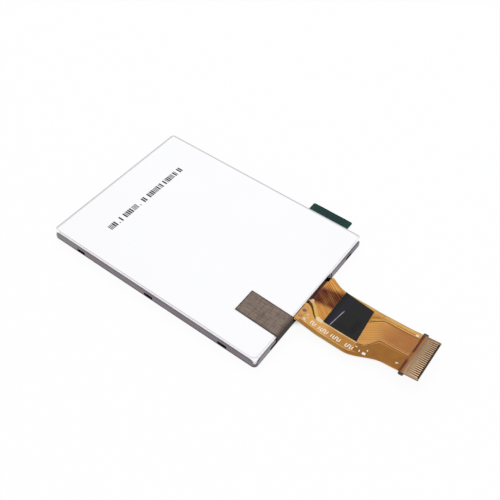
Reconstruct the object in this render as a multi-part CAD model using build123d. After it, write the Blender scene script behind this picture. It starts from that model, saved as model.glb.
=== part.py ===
from build123d import *
import os

# TFT display module for a hand-held camera, lying on its screen with its back face up.
# The origin is the middle of the front face. X runs along the long side, towards the flex tail.
# Y runs along the short side, and Z goes up through the stack of layers to the back.
# All lengths are in millimetres.

# Module outline
module_length = 57.0
module_width = 41.8
overrun = 0.5

# Layer thicknesses, from the front face up
protective_film_thickness = 0.08
bezel_sheet = 0.2
glass_thickness = 0.5
polariser_thickness = 0.2
rim_tape_thickness = 0.06
prism_film_thickness = 0.16
diffuser_thickness = 0.12
guide_thickness = 0.95
reflector_thickness = 0.15

# Bezel: a tray drawn from stainless sheet, with a window for the screen
bezel_corner_radius = 1.0
bezel_bend_radius = 0.25
bezel_rim_drop = 0.8
window_end_margin = 0.75
window_side_margin = 0.85
window_corner_radius = 0.4

# Corner reliefs: a U cut down each corner, with rounded ends to the walls beside it
relief_half_width = 0.52
relief_flare_radius = 0.75
relief_floor_height = 0.85

# Snap slots in the walls, for the hooks of the camera's chassis
slot_length = 2.35
slot_height = 1.0
slot_rise = 0.42
slot_corner_radius = 0.2
long_side_slot_inset = 8.5
short_side_slot_inset = 6.0
short_side_slot_shift = 0.4

# Gap in the bezel's short wall for the flex
flex_gap_clearance = 0.325
flex_gap_floor = 0.45

# Liquid crystal cell: two glasses, the rear one longer by its contact ledge
ledge_length = 2.9
front_polariser_fit = 0.15
rear_polariser_inset = 0.5
chip_length = 16.0
chip_width = 1.1
chip_thickness = 0.35
chip_inset = 0.4

# Frame: moulded white plastic around the cell and the backlight
frame_fit = 0.05
cell_fit = 0.1
cell_wall = 0.45
guide_fit = 0.1
frame_wall = 1.05
led_end_wall = 1.25
lintel_thickness = 0.2
frame_corner_radius = 0.75
snap_clearance = 0.2
flex_window_fit = 0.1

# Films and light guide
film_inset = 0.1
rim_tape_overlap = 0.4
rim_tape_width = 1.1
reflector_end_inset = 0.72
reflector_side_inset = 0.58
reflector_shift_x = 0.2
reflector_shift_y = -0.22
reflector_corner_radius = 1.2

# Lamps on their own narrow flex
led_count = 5
led_side_margin = 1.0
led_length = 3.0
led_width = 1.1
led_height = 0.6
led_mouth_depth = 0.3
led_rim = 0.12
led_gap = 0.1
led_flex_thickness = 0.1
led_flex_margin = 0.7
led_flex_width = 1.9
led_tongue_width = 4.1
led_tongue_reach = 1.1
led_tongue_edge = 0.25

# Main flex: side view, as distances from the module's edge and heights above the table
flex_thickness = 0.12
cover_film_thickness = 0.03
bond_length = 1.2
flex_reach = 27.45
flex_level = 1.6
crest_rise = 1.0
join_rise = 0.6
tip_rise = 1.3
bond_bend_setback = 0.6
crest_start = 0.1
crest_end = 1.1
join_distance = 2.5
landing_distance = 5.7
bond_bend_radius = 0.3
crest_radius = 0.5
crest_end_radius = 2.0
join_radius = 3.0
landing_radius = 4.0
lift_radius = 30.0
lift_shares = ((0.55, 0), (0.754, 0.27))

# Main flex: plan view
contact_count = 20
contact_pitch = 0.5
contact_width = 0.3
contact_length = 2.95
tail_side_margin = 0.6
tail_centre = 0.45
body_width = 13.25
leg_flare = 1.8
flare_start = 0.1
flare_end = 4.1
neck_start = 11.9
neck_end = 20.0
neck_shares = (0.55, 0.53)
backlight_leg_setback = 1.2

# Slit that parts the flex into the panel's leg and the backlight's leg
slit_start = -0.2
slit_reach = 3.9
slit_top = -1.1
slit_drop = 3.3
slit_upper_shares = ((0, 0), (0.2, 0.09), (0.5, 0.37), (0.8, 0.76), (1, 0.96))
slit_lower_shares = ((0.97, 1.04), (0.78, 0.83), (0.54, 0.56), (0.3, 0.37), (0, 0.28))

# Stiffener under the tip
stiffener_length = 4.15
stiffener_thickness = 0.18
stiffener_overhang = 0.1
ear_length = 1.15
ear_reach = 0.56
ear_corner_radius = 0.3

# Conductors that show through the cover film
trace_thickness = 0.02
tail_trace_count = 11
tail_trace_width = 0.24
tail_trace_pitch = 0.5
tail_trace_top = 4.5
tail_trace_start = 12.4
tail_trace_bend = 16.2
tail_trace_end_gap = 3.95
tail_trace_fan = 0.19
tail_trace_start_top = 3.0
leg_trace_count = 12
leg_trace_width = 0.13
leg_trace_start = 0.9
leg_trace_stop = 5.3
leg_trace_start_top = 6.2
leg_trace_start_pitch = 0.36
leg_trace_stop_top = 5.3
leg_trace_stop_pitch = 0.42

# Black tape over the chip parts, with a blister above them
tape_start = 5.1
tape_length = 8.05
tape_far_length = 7.3
tape_width = 9.45
tape_drop = 0.75
tape_edge = 0.05
tape_thickness = 0.06
blister_start = 1.5
blister_length = 4.9
blister_width = 4.8
blister_margin = 0.5
blister_height = 0.24
blister_slope = 0.6
capacitor_length = 1.0
capacitor_width = 0.5
capacitor_height = 0.2
capacitor_columns = 2
capacitor_rows = 2
capacitor_column_pitch = 1.6
capacitor_row_pitch = 1.4
capacitor_cap = 0.25

# Solder joints between the lamps' flex and the backlight's leg
joint_count = 2
joint_pitch = 1.6
joint_radius = 0.42
joint_height = 0.22

# Woven grounding tape, from the back over the bezel's edge
ground_tape_thickness = 0.12
ground_tape_back_length = 10.9
ground_tape_side_length = 2.5
ground_tape_width = 6.2
ground_tape_gap = 0.05
ground_tape_skew = 0.3
ground_tape_bend_share = 0.9

# Protective film and its pull tab
film_edge_inset = 0.4
film_corner_radius = 0.8
pull_tab_length = 10.8
pull_tab_reach = 4.55
pull_tab_centre = 18.2
pull_tab_thickness = 0.08
pull_tab_corner_radius = 0.9
film_tongue_reach = 1.5

# Levels of the layers
bezel_front = protective_film_thickness
cell_front = bezel_front + bezel_sheet
ledge_face = cell_front + glass_thickness
cell_back = ledge_face + glass_thickness
rim_tape_front = cell_back + polariser_thickness
shelf = rim_tape_front + rim_tape_thickness
lower_prism_front = shelf + prism_film_thickness
diffuser_front = lower_prism_front + prism_film_thickness
guide_front = diffuser_front + diffuser_thickness
guide_back = guide_front + guide_thickness
module_back = guide_back + reflector_thickness
bezel_back = module_back - bezel_rim_drop
led_top = guide_front + led_height
window_top = guide_back - lintel_thickness

# Places in plan
edge = module_length / 2
frame_length = module_length - 2 * (bezel_sheet + frame_fit)
frame_width = module_width - 2 * (bezel_sheet + frame_fit)
frame_front = cell_front + frame_fit
cell_length = frame_length - 2 * (cell_wall + cell_fit)
cell_width = frame_width - 2 * (cell_wall + cell_fit)
cell_end = cell_length / 2
front_glass_length = cell_length - ledge_length
front_glass_x = -ledge_length / 2
window_length = front_glass_length - 2 * window_end_margin
window_width = cell_width - 2 * window_side_margin
led_bay_end = frame_length / 2 - led_end_wall
guide_width = frame_width - 2 * (frame_wall + guide_fit)
guide_start = frame_wall + guide_fit - frame_length / 2
guide_end = led_bay_end - led_flex_width - 2 * led_gap
guide_length = guide_end - guide_start
guide_middle = (guide_start + guide_end) / 2
led_pitch = (guide_width - 2 * led_side_margin) / led_count
reflector_length = module_length - 2 * reflector_end_inset
reflector_width = module_width - 2 * reflector_side_inset
led_flex_length = (led_count - 1) * led_pitch + led_length + 2 * led_flex_margin
tail_width = (contact_count - 1) * contact_pitch + 2 * tail_side_margin
flex_top = tail_centre + tail_width / 2
tail_bottom = tail_centre - tail_width / 2
body_bottom = flex_top - body_width
leg_top = flex_top + leg_flare
tip = edge + flex_reach
tail_trace_end = tip - tail_trace_end_gap
ground_tape_centre = body_bottom - ground_tape_gap - ground_tape_width / 2


def block(length, width, low, high, radius=0, x=0, y=0):
    """Upright plate with rounded corners, between two heights."""
    outline = RectangleRounded(length, width, radius) if radius else Rectangle(length, width)
    return extrude(Pos(x, y, low) * outline, amount=high - low)


def span(x_from, x_to, y_from, y_to, low, high):
    """Square-cornered block between six bounds."""
    middle = ((x_from + x_to) / 2, (y_from + y_to) / 2)
    return block(x_to - x_from, y_to - y_from, low, high, 0, *middle)


def prism(edges):
    """Tall upright prism on a closed outline in plan, for trimming what it crosses."""
    return extrude(Pos(0, 0, -module_back) * make_face(edges), amount=4 * module_back)


def snap_places():
    """Places of the snap slots, each a frame with Y pointing into the module."""
    places = []
    for step in (-1, 0, 1):
        x = step * (edge - long_side_slot_inset)
        places.append(Location((x, -module_width / 2, 0), (0, 0, 0)))
        places.append(Location((x, module_width / 2, 0), (0, 0, 180)))
    for step in (-1, 1):
        y = short_side_slot_shift + step * (module_width / 2 - short_side_slot_inset)
        places.append(Location((edge, y, 0), (0, 0, 90)))
        places.append(Location((-edge, y, 0), (0, 0, -90)))
    return places


def corner_places():
    """Places of the bezel's outer corners, each a frame with Y along the diagonal, inwards."""
    half = (edge, module_width / 2)
    corners = ((1, -1), (1, 1), (-1, 1), (-1, -1))
    return [
        Location((sx * half[0], sy * half[1], 0), (0, 0, 45 + 90 * turn))
        for turn, (sx, sy) in enumerate(corners)
    ]


def wall_slot(length, height, low, depth, radius):
    """Rounded slot into a wall, cut from outside it to a depth, in the wall's own frame."""
    outline = Pos(0, low + height / 2) * RectangleRounded(length, height, radius)
    face = Location((0, depth, 0)) * (Plane.XZ * outline)
    return extrude(face, amount=depth + overrun)


def corner_relief():
    """Cutter for one corner: a U with a round floor, flared at its mouth."""
    width = 2 * relief_half_width
    turn = bezel_front + relief_floor_height + relief_half_width
    mouth = width + 2 * relief_flare_radius
    slot = Pos(0, (turn + bezel_back) / 2) * Rectangle(width, bezel_back - turn)
    slot += Pos(0, turn) * Circle(relief_half_width)
    flare = Pos(0, bezel_back - relief_flare_radius / 2) * Rectangle(mouth, relief_flare_radius)
    for side in (-1, 1):
        centre = (side * mouth / 2, bezel_back - relief_flare_radius)
        flare -= Pos(*centre) * Circle(relief_flare_radius)
    above = Pos(0, bezel_back + overrun / 2) * Rectangle(mouth, overrun)
    depth = mouth / 2 + 2 * bezel_sheet
    face = Location((0, depth, 0)) * (Plane.XZ * (slot + flare + above))
    return extrude(face, amount=depth + overrun)


def metal_bezel():
    """Drawn tray, lower than the frame: window, bend, corner reliefs, slots and flex gap."""
    tray = block(module_length, module_width, bezel_front, bezel_back, bezel_corner_radius)
    tray = fillet(tray.edges().group_by(Axis.Z)[0], bezel_bend_radius)
    inner = (module_length - 2 * bezel_sheet, module_width - 2 * bezel_sheet)
    inner_radius = bezel_corner_radius - bezel_sheet
    hollow = block(*inner, cell_front, module_back + overrun, inner_radius)
    hollow = fillet(hollow.edges().group_by(Axis.Z)[0], bezel_bend_radius - bezel_sheet)
    window = block(
        window_length, window_width, 0, cell_front + overrun, window_corner_radius, front_glass_x
    )
    gap = span(
        edge - 2 * bezel_sheet,
        edge + overrun,
        body_bottom - flex_gap_clearance,
        leg_top + flex_gap_clearance,
        bezel_front + flex_gap_floor,
        module_back + overrun,
    )
    tray = tray - hollow - window - gap
    relief = corner_relief()
    for place in corner_places():
        tray -= place * relief
    slot = wall_slot(
        slot_length, slot_height, bezel_front + slot_rise, 2 * bezel_sheet, slot_corner_radius
    )
    for place in snap_places():
        tray -= place * slot
    return tray


def backlight_frame():
    """Moulded frame: a pocket for the cell below a shelf, and one for the backlight above."""
    body = block(frame_length, frame_width, frame_front, guide_back, frame_corner_radius)
    body = chamfer(body.edges().group_by(Axis.Z)[0], bezel_bend_radius - bezel_sheet)
    body -= block(cell_length + 2 * cell_fit, cell_width + 2 * cell_fit, 0, shelf)
    half_guide = guide_width / 2 + guide_fit
    body -= span(
        guide_start - guide_fit, guide_end, -half_guide, half_guide, 0, module_back
    )
    body -= span(guide_end, led_bay_end, -half_guide, half_guide, guide_front, module_back)
    body -= span(
        led_bay_end,
        edge,
        body_bottom - flex_window_fit,
        leg_top + flex_window_fit,
        0,
        window_top,
    )
    notch = wall_slot(
        slot_length + 2 * snap_clearance,
        bezel_front + slot_rise + slot_height + snap_clearance,
        0,
        bezel_sheet + frame_fit + cell_wall + cell_fit / 2,
        slot_corner_radius,
    )
    for place in snap_places():
        body -= place * notch
    return body


def cell_pieces():
    """The two glasses, their polarisers and the driver chip on the ledge."""
    front_polariser = block(
        window_length - 2 * front_polariser_fit,
        window_width - 2 * front_polariser_fit,
        bezel_front,
        cell_front,
        window_corner_radius,
        front_glass_x,
    )
    front_glass = block(front_glass_length, cell_width, cell_front, ledge_face, 0, front_glass_x)
    rear_glass = block(cell_length, cell_width, ledge_face, cell_back)
    rear_polariser = block(
        front_glass_length - 2 * rear_polariser_inset,
        cell_width - 2 * rear_polariser_inset,
        cell_back,
        rim_tape_front,
        0,
        front_glass_x,
    )
    chip_x = cell_end - ledge_length + chip_inset + chip_width / 2
    chip = block(chip_width, chip_length, ledge_face - chip_thickness, ledge_face, 0, chip_x)
    return {
        "front_polariser": front_polariser,
        "colour_filter_glass": front_glass,
        "tft_glass": rear_glass,
        "rear_polariser": rear_polariser,
        "driver_chip": chip,
    }


def film(low, high, inset):
    """Rectangular film in the backlight pocket, set in from the light guide's outline."""
    length = guide_length - 2 * inset
    return block(length, guide_width - 2 * inset, low, high, 0, guide_middle)


def backlight_pieces():
    """Shading tape, light films, light guide and the reflector that closes the back."""
    tape_length = guide_length + 2 * guide_fit
    tape_outer = (tape_length, guide_width + 2 * (guide_fit + rim_tape_overlap))
    tape_inner = [size - 2 * (rim_tape_overlap + rim_tape_width) for size in tape_outer]
    rim_tape = block(*tape_outer, rim_tape_front, shelf, 0, guide_middle)
    rim_tape -= block(*tape_inner, 0, module_back, 0, guide_middle)
    reflector = block(
        reflector_length,
        reflector_width,
        guide_back,
        module_back,
        reflector_corner_radius,
        reflector_shift_x,
        reflector_shift_y,
    )
    return {
        "rim_tape": rim_tape,
        "prism_film_upper": film(shelf, lower_prism_front, film_inset),
        "prism_film_lower": film(lower_prism_front, diffuser_front, film_inset),
        "diffuser_film": film(diffuser_front, guide_front, film_inset),
        "light_guide": film(guide_front, guide_back, 0),
        "reflector_sheet": reflector,
    }


def led_pieces():
    """Side-emitting lamps with their mouths to the light guide, and the flex above them."""
    x = guide_end + led_gap + led_width / 2
    lamp = block(led_width, led_length, guide_front, led_top)
    mouth = span(
        -led_width,
        led_mouth_depth - led_width / 2,
        led_rim - led_length / 2,
        led_length / 2 - led_rim,
        guide_front + led_rim,
        led_top - led_rim,
    )
    lamp -= mouth
    pieces = {}
    for number in range(led_count):
        y = (number - (led_count - 1) / 2) * led_pitch
        pieces[f"led_{number + 1}"] = Pos(x, y, 0) * lamp
    strip_x = guide_end + led_gap + led_flex_width / 2
    top = led_top + led_flex_thickness
    strip = block(led_flex_width, led_flex_length, led_top, top, 0, strip_x)
    tongue_bottom = body_bottom + led_tongue_edge
    strip += span(
        strip_x,
        edge + led_tongue_reach,
        tongue_bottom,
        tongue_bottom + led_tongue_width,
        led_top,
        top,
    )
    pieces["led_flex"] = strip
    return pieces


def common_route():
    """Points of the flex's side view from where its legs join in height to the tip."""
    lifts = [
        (edge + reach * flex_reach, flex_level + rise * tip_rise) for reach, rise in lift_shares
    ]
    join = (edge + join_distance, flex_level + join_rise)
    landing = (edge + landing_distance, flex_level)
    return [join, landing, *lifts, (tip, flex_level + tip_rise)]


def panel_route():
    """Side view of the panel's leg: under the ledge, up through the gap, over the crest."""
    level = ledge_face - flex_thickness / 2
    start = [
        (cell_end - bond_length - overrun, level),
        (edge - bond_bend_setback, level),
        (edge + crest_start, flex_level + crest_rise),
        (edge + crest_end, flex_level + crest_rise),
    ]
    radii = [bond_bend_radius, crest_radius, crest_end_radius, join_radius, landing_radius]
    return FilletPolyline(*start, *common_route(), radius=radii + [lift_radius] * len(lift_shares))


def backlight_route():
    """Side view of the backlight's leg: it lies under the lamps' flex and slopes down."""
    level = led_top - flex_thickness / 2
    start = [
        (edge - backlight_leg_setback - overrun, level),
        (edge + led_tongue_reach, level),
    ]
    radii = [join_radius, join_radius, landing_radius]
    return FilletPolyline(*start, *common_route(), radius=radii + [lift_radius] * len(lift_shares))


def layer(route, low, high):
    """Sheet between two distances above a side view's middle line, wider than the flex."""
    upper = make_face(offset(route, high, side=Side.LEFT).edges())
    if low > 0:
        profile = upper - make_face(offset(route, low, side=Side.LEFT).edges())
    else:
        profile = upper + make_face(offset(route, -low, side=Side.RIGHT).edges())
    return Pos(0, module_width / 2, 0) * extrude(Plane.XZ * profile, amount=module_width)


def shared_points(table, x_from, reach, y_from, drop):
    """Points in plan from a table of shares of a reach and a drop."""
    return [(x_from + along * reach, y_from - down * drop) for along, down in table]


def slit_sides():
    """The upper and lower sides of the slit, in plan, as lists of points."""
    place = (edge + slit_start, slit_reach, slit_top, slit_drop)
    return shared_points(slit_upper_shares, *place), shared_points(slit_lower_shares, *place)


def flex_outline():
    """Outline of the flex in plan, without its slit."""
    bond_end = cell_end - bond_length
    neck_middle = (
        edge + neck_start + neck_shares[0] * (neck_end - neck_start),
        body_bottom + neck_shares[1] * (tail_bottom - body_bottom),
    )
    flare = ((edge + flare_start, leg_top), (edge + flare_end, flex_top))
    neck = ((edge + neck_end, tail_bottom), neck_middle, (edge + neck_start, body_bottom))
    return [
        Line((bond_end, leg_top), flare[0]),
        Spline(*flare, tangents=((1, 0), (1, 0))),
        Polyline(flare[1], (tip, flex_top), (tip, tail_bottom), neck[0]),
        Spline(*neck, tangents=((-1, 0), (-1, 0))),
        Polyline(neck[2], (bond_end, body_bottom), (bond_end, leg_top)),
    ]


def slit_cutters():
    """The slit itself, and the strip of plan that holds the backlight's leg beside it."""
    upper, lower = slit_sides()
    bond_end = cell_end - bond_length - overrun
    slit = make_slit(upper, lower, bond_end)
    between = [((a[0] + b[0]) / 2, (a[1] + b[1]) / 2) for a, b in zip(upper, reversed(lower))]
    side = [(bond_end, between[0][1]), *between]
    low = body_bottom - overrun
    strip = Polyline(*side, (side[-1][0], low), (bond_end, low), close=True)
    return slit, prism(strip.edges())


def make_slit(upper, lower, root):
    """Prism of the slit: two smooth sides, a closed end, and a straight mouth to the root."""
    edges = [
        Line((root, upper[0][1]), upper[0]),
        Spline(*upper),
        Line(upper[-1], lower[0]),
        Spline(*lower),
        Line(lower[-1], (root, lower[-1][1])),
        Line((root, lower[-1][1]), (root, upper[0][1])),
    ]
    return prism(edges)


def tip_frame():
    """Frame on the tail's tip, in the film's middle: X along the tail, Z out of its face."""
    back, rise = lift_shares[-1]
    run = (1 - back) * flex_reach
    slope = Vector(run, 0, (1 - rise) * tip_rise)
    origin = (tip, tail_centre, flex_level + tip_rise)
    return Plane(origin=origin, x_dir=slope, z_dir=Vector(-slope.Z, 0, slope.X))


def main_flex():
    """The flexible circuit: two legs at the panel, a neck, and bare contacts at the tip."""
    half = flex_thickness / 2
    outline = prism(flex_outline())
    slit, strip = slit_cutters()
    root = edge - backlight_leg_setback
    behind = span(0, root, -module_width, module_width, -module_back, 2 * module_back)
    panel = layer(panel_route(), -half, half) & (outline - slit - strip)
    backlight = layer(backlight_route(), -half, half) & ((outline - slit) & (strip - behind))
    flex = panel + backlight
    step = Pos(-contact_length / 2, 0, half) * Box(
        contact_length, 2 * tail_width, 2 * cover_film_thickness
    )
    return flex - tip_frame() * Pos(overrun / 2, 0, 0) * step


def contact_fingers():
    """Gilded contacts at the tip, flush with the cover film."""
    low = flex_thickness / 2 - cover_film_thickness
    shift = (contact_length - overrun) / 2
    finger = Box(contact_length - overrun, contact_width, cover_film_thickness)
    fingers = []
    for number in range(contact_count):
        y = (number - (contact_count - 1) / 2) * contact_pitch
        fingers.append(tip_frame() * Pos(-shift, y, low + cover_film_thickness / 2) * finger)
    return Compound(children=fingers)


def flex_stiffener():
    """Stiffener under the tip, a T with an ear on each side at its rear."""
    height = -(flex_thickness + stiffener_thickness) / 2
    middle = stiffener_overhang - stiffener_length / 2
    plate = Pos(middle, 0) * Rectangle(stiffener_length, tail_width)
    ear_x = stiffener_overhang - stiffener_length + ear_length / 2
    ears = RectangleRounded(ear_length, tail_width + 2 * ear_reach, ear_corner_radius)
    outline = plate + Pos(ear_x, 0) * ears
    solid = extrude(outline, amount=stiffener_thickness / 2, both=True)
    return tip_frame() * Pos(0, 0, height) * solid


def ribbon(points, width):
    """Prism of one conductor of constant width through points in plan."""
    path = Polyline(*points)
    return prism(offset(path, width / 2, kind=Kind.INTERSECTION).edges())


def flex_traces():
    """Conductors raised under the cover film: a fan on the leg and a bent band on the tail."""
    half = flex_thickness / 2
    skin = layer(panel_route(), half, half + trace_thickness)
    skin -= prism(Polyline(*tape_corners(), close=True).edges())
    traces = []
    for number in range(tail_trace_count):
        y = tail_trace_top - number * tail_trace_pitch
        start = tail_trace_start_top - number * (tail_trace_pitch + tail_trace_fan)
        bend = edge + tail_trace_bend + number * tail_trace_fan / 2
        points = [
            (edge + tail_trace_start, start),
            (bend, y),
            (tail_trace_end, y),
        ]
        traces += (skin & ribbon(points, tail_trace_width)).solids()
    for number in range(leg_trace_count):
        start = leg_trace_start_top - number * leg_trace_start_pitch
        stop = leg_trace_stop_top - number * leg_trace_stop_pitch
        points = [(edge + leg_trace_start, start), (edge + leg_trace_stop, stop)]
        traces += (skin & ribbon(points, leg_trace_width)).solids()
    return Compound(children=traces)


def tape_corners():
    """Corners of the black tape in plan, anticlockwise from its near panel corner."""
    left = edge + tape_start
    top = flex_top - tape_edge
    bottom = top - tape_width
    return [
        (left, bottom),
        (left + tape_length, bottom),
        (left + tape_far_length, top - tape_drop),
        (left, top),
    ]


def blister(height, inset):
    """Raised part of the tape: a block with sloping sides, or its hollow when inset."""
    left, bottom = tape_corners()[0]
    x = left + blister_start + blister_length / 2
    y = bottom + blister_margin + blister_width / 2
    base = flex_level + flex_thickness / 2
    size = (blister_length - 2 * inset, blister_width - 2 * inset)
    low = Pos(x, y, base) * Rectangle(*size)
    shrink = 2 * blister_slope * height / blister_height
    high = Pos(x, y, base + height) * Rectangle(size[0] - shrink, size[1] - shrink)
    return loft([low.face(), high.face()])


def insulating_tape():
    """Black tape that follows the flex and domes over the chip parts."""
    half = flex_thickness / 2
    outline = prism(Polyline(*tape_corners(), close=True).edges())
    tape = layer(panel_route(), half, half + tape_thickness) & outline
    dome = blister(blister_height + tape_thickness, 0)
    hollow = blister(blister_height, tape_thickness)
    return tape + dome - hollow


def capacitors():
    """Chip capacitors under the black tape, each with its end caps standing proud."""
    left, bottom = tape_corners()[0]
    x = left + blister_start + blister_length / 2
    y = bottom + blister_margin + blister_width / 2
    base = flex_level + flex_thickness / 2
    body = block(
        capacitor_length, capacitor_width, base, base + capacitor_height
    )
    waist = block(
        capacitor_length - 2 * capacitor_cap, capacitor_width, base, base + capacitor_height
    ) - block(
        capacitor_length,
        capacitor_width - 2 * cover_film_thickness,
        base,
        base + capacitor_height - cover_film_thickness,
    )
    chip = body - waist
    pieces = {}
    for number in range(capacitor_columns * capacitor_rows):
        column, row = divmod(number, capacitor_rows)
        dx = (column - (capacitor_columns - 1) / 2) * capacitor_column_pitch
        dy = (row - (capacitor_rows - 1) / 2) * capacitor_row_pitch
        pieces[f"capacitor_{number + 1}"] = Pos(x + dx, y + dy, 0) * chip
    return pieces


def solder_joints():
    """Solder domes that join the lamps' flex to the backlight's leg."""
    base = led_top + led_flex_thickness
    x = edge + led_tongue_reach - joint_radius
    middle = body_bottom + led_tongue_edge + led_tongue_width / 2
    ball_radius = (joint_radius**2 + joint_height**2) / (2 * joint_height)
    ball = Pos(0, 0, joint_height - ball_radius) * Sphere(ball_radius)
    dome = ball & block(2 * joint_radius, 2 * joint_radius, 0, joint_height)
    domes = []
    for number in range(joint_count):
        y = middle + (number - (joint_count - 1) / 2) * joint_pitch
        domes.append((Pos(x, y, base) * dome).solid())
    return Compound(children=domes)


def grounding_tape():
    """Woven tape stuck on the back, over the bezel's edge and down its wall."""
    top = module_back + ground_tape_thickness
    outer = edge + ground_tape_thickness
    foot = module_back - ground_tape_side_length
    half = ground_tape_width / 2
    strip = span(edge - ground_tape_back_length, outer, -edge, edge, module_back, top)
    strip += span(edge, outer, -edge, edge, foot, top)
    outside = strip.edges().filter_by(Axis.Y).group_by(Axis.Z)[-1].sort_by(Axis.X)[-1]
    strip = fillet(outside, ground_tape_bend_share * ground_tape_thickness)
    low, high = ground_tape_centre - half, ground_tape_centre + half
    inner = edge - ground_tape_back_length
    outline = Polyline(
        (inner, low + ground_tape_skew),
        (outer, low),
        (outer, high),
        (inner, high + ground_tape_skew),
        close=True,
    )
    return strip & prism(outline.edges())


def front_film_pieces():
    """Clear film over the front, and the green tab stuck on its tongue."""
    film_sheet = block(
        module_length - 2 * film_edge_inset,
        module_width - 2 * film_edge_inset,
        0,
        protective_film_thickness,
        film_corner_radius,
    )
    side = module_width / 2
    half = pull_tab_length / 2
    film_sheet += span(
        pull_tab_centre - half,
        pull_tab_centre + half,
        0,
        side + film_tongue_reach,
        0,
        protective_film_thickness,
    )
    tab = span(
        pull_tab_centre - half,
        pull_tab_centre + half,
        side,
        side + pull_tab_reach,
        protective_film_thickness,
        protective_film_thickness + pull_tab_thickness,
    )
    tab = fillet(tab.edges().filter_by(Axis.Z).group_by(Axis.Y)[-1], pull_tab_corner_radius)
    return {"protective_film": film_sheet, "film_pull_tab": tab}


def all_pieces():
    """Every piece of the module by its name."""
    return {
        **front_film_pieces(),
        "metal_bezel": metal_bezel(),
        **cell_pieces(),
        "backlight_frame": backlight_frame(),
        **backlight_pieces(),
        **led_pieces(),
        "main_flex": main_flex(),
        "flex_traces": flex_traces(),
        "contact_fingers": contact_fingers(),
        "flex_stiffener": flex_stiffener(),
        "insulating_tape": insulating_tape(),
        **capacitors(),
        "solder_joints": solder_joints(),
        "grounding_tape": grounding_tape(),
    }


os.makedirs("parts", exist_ok=True)
for name, piece in all_pieces().items():
    export_step(piece, f"parts/{name}.step")
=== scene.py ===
import math

import bmesh
import bpy
import numpy as np
from mathutils import Matrix, Vector
from mathutils.bvhtree import BVHTree
from mathutils.geometry import delaunay_2d_cdt


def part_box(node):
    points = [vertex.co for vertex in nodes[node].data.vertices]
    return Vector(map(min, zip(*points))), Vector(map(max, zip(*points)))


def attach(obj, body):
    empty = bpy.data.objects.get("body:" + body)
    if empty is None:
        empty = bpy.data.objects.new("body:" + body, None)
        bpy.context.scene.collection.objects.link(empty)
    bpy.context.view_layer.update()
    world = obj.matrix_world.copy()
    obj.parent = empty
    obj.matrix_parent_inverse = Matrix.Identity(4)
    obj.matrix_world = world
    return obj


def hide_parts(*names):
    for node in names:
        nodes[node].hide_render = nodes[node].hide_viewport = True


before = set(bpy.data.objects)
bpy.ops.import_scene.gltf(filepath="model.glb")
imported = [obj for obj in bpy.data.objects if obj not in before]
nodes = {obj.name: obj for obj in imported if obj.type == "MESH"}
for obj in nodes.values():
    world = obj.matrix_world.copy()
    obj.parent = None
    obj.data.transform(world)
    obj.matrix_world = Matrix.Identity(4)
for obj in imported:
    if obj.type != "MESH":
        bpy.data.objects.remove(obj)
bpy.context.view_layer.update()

# Camera, above the near long side and the flex, a little turned about its own axis.
# The picture was taken from close by, so the far edges run together slightly.
eye = Vector((0.06487, -0.07973, 0.12063))
azimuth = math.radians(33.74)
elevation = math.radians(50.26)
roll = math.radians(3.32)
lens_mm = 49.09
sensor_mm = 36.0

back = Vector((
    math.sin(azimuth) * math.cos(elevation),
    -math.cos(azimuth) * math.cos(elevation),
    math.sin(elevation),
))
level_right = Vector((math.cos(azimuth), math.sin(azimuth), 0))
level_up = back.cross(level_right)
right = level_right * math.cos(roll) + level_up * math.sin(roll)
up = back.cross(right)
camera_data = bpy.data.cameras.new("picture_camera")
camera_data.lens = lens_mm
camera_data.sensor_width = sensor_mm
camera_data.clip_start = 0.01
camera = bpy.data.objects.new("picture_camera", camera_data)
camera.matrix_world = Matrix.Translation(eye) @ Matrix((right, up, back)).transposed().to_4x4()
bpy.context.collection.objects.link(camera)
bpy.context.scene.camera = camera
bpy.context.scene.view_settings.view_transform = "Standard"

# Floor: a sheet of matt white paper, far larger than the view, just below the module.
# Seen by the eye, by gloss or through clear film it is nearly pure white, and it keeps a soft shadow.
floor_size = 3.0
floor_drop = 0.00002
floor_white = "FDFDFD"
floor_glow_share = 0.93
shade_reach = 0.004
shade_darkest = 0.12
shade_faintest = 0.32


def linear(colour):
    """An sRGB hex colour as linear red, green, blue and an alpha of one."""
    parts = [int(colour[n:n + 2], 16) / 255 for n in (0, 2, 4)]
    return [c / 12.92 if c <= 0.04045 else ((c + 0.055) / 1.055) ** 2.4 for c in parts] + [1]


def node(tree, kind, inputs=None, **settings):
    """Adds one node with its settings; inputs holds values, and sockets or nodes that feed it.

    A node stands for its first output, and a node that mixes colours for its colour.
    """
    made = tree.nodes.new(kind)
    for key, value in settings.items():
        setattr(made, key, value)
    for key, value in (inputs or {}).items():
        if isinstance(value, bpy.types.Node):
            value = value.outputs[2 if value.bl_idname == "ShaderNodeMix" else 0]
        if isinstance(value, bpy.types.NodeSocket):
            tree.links.new(value, made.inputs[key])
        else:
            made.inputs[key].default_value = value
    return made


def new_material(name):
    """An empty material and its node tree."""
    material = bpy.data.materials.new(name)
    material.use_nodes = True
    material.node_tree.nodes.clear()
    return material, material.node_tree


def mesh_object(name, builder, material):
    """Turns a bmesh into a named object in the scene, with its material."""
    mesh = bpy.data.meshes.new(name)
    builder.to_mesh(mesh)
    builder.free()
    mesh.materials.append(material)
    made = bpy.data.objects.new(name, mesh)
    bpy.context.collection.objects.link(made)
    return made


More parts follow.
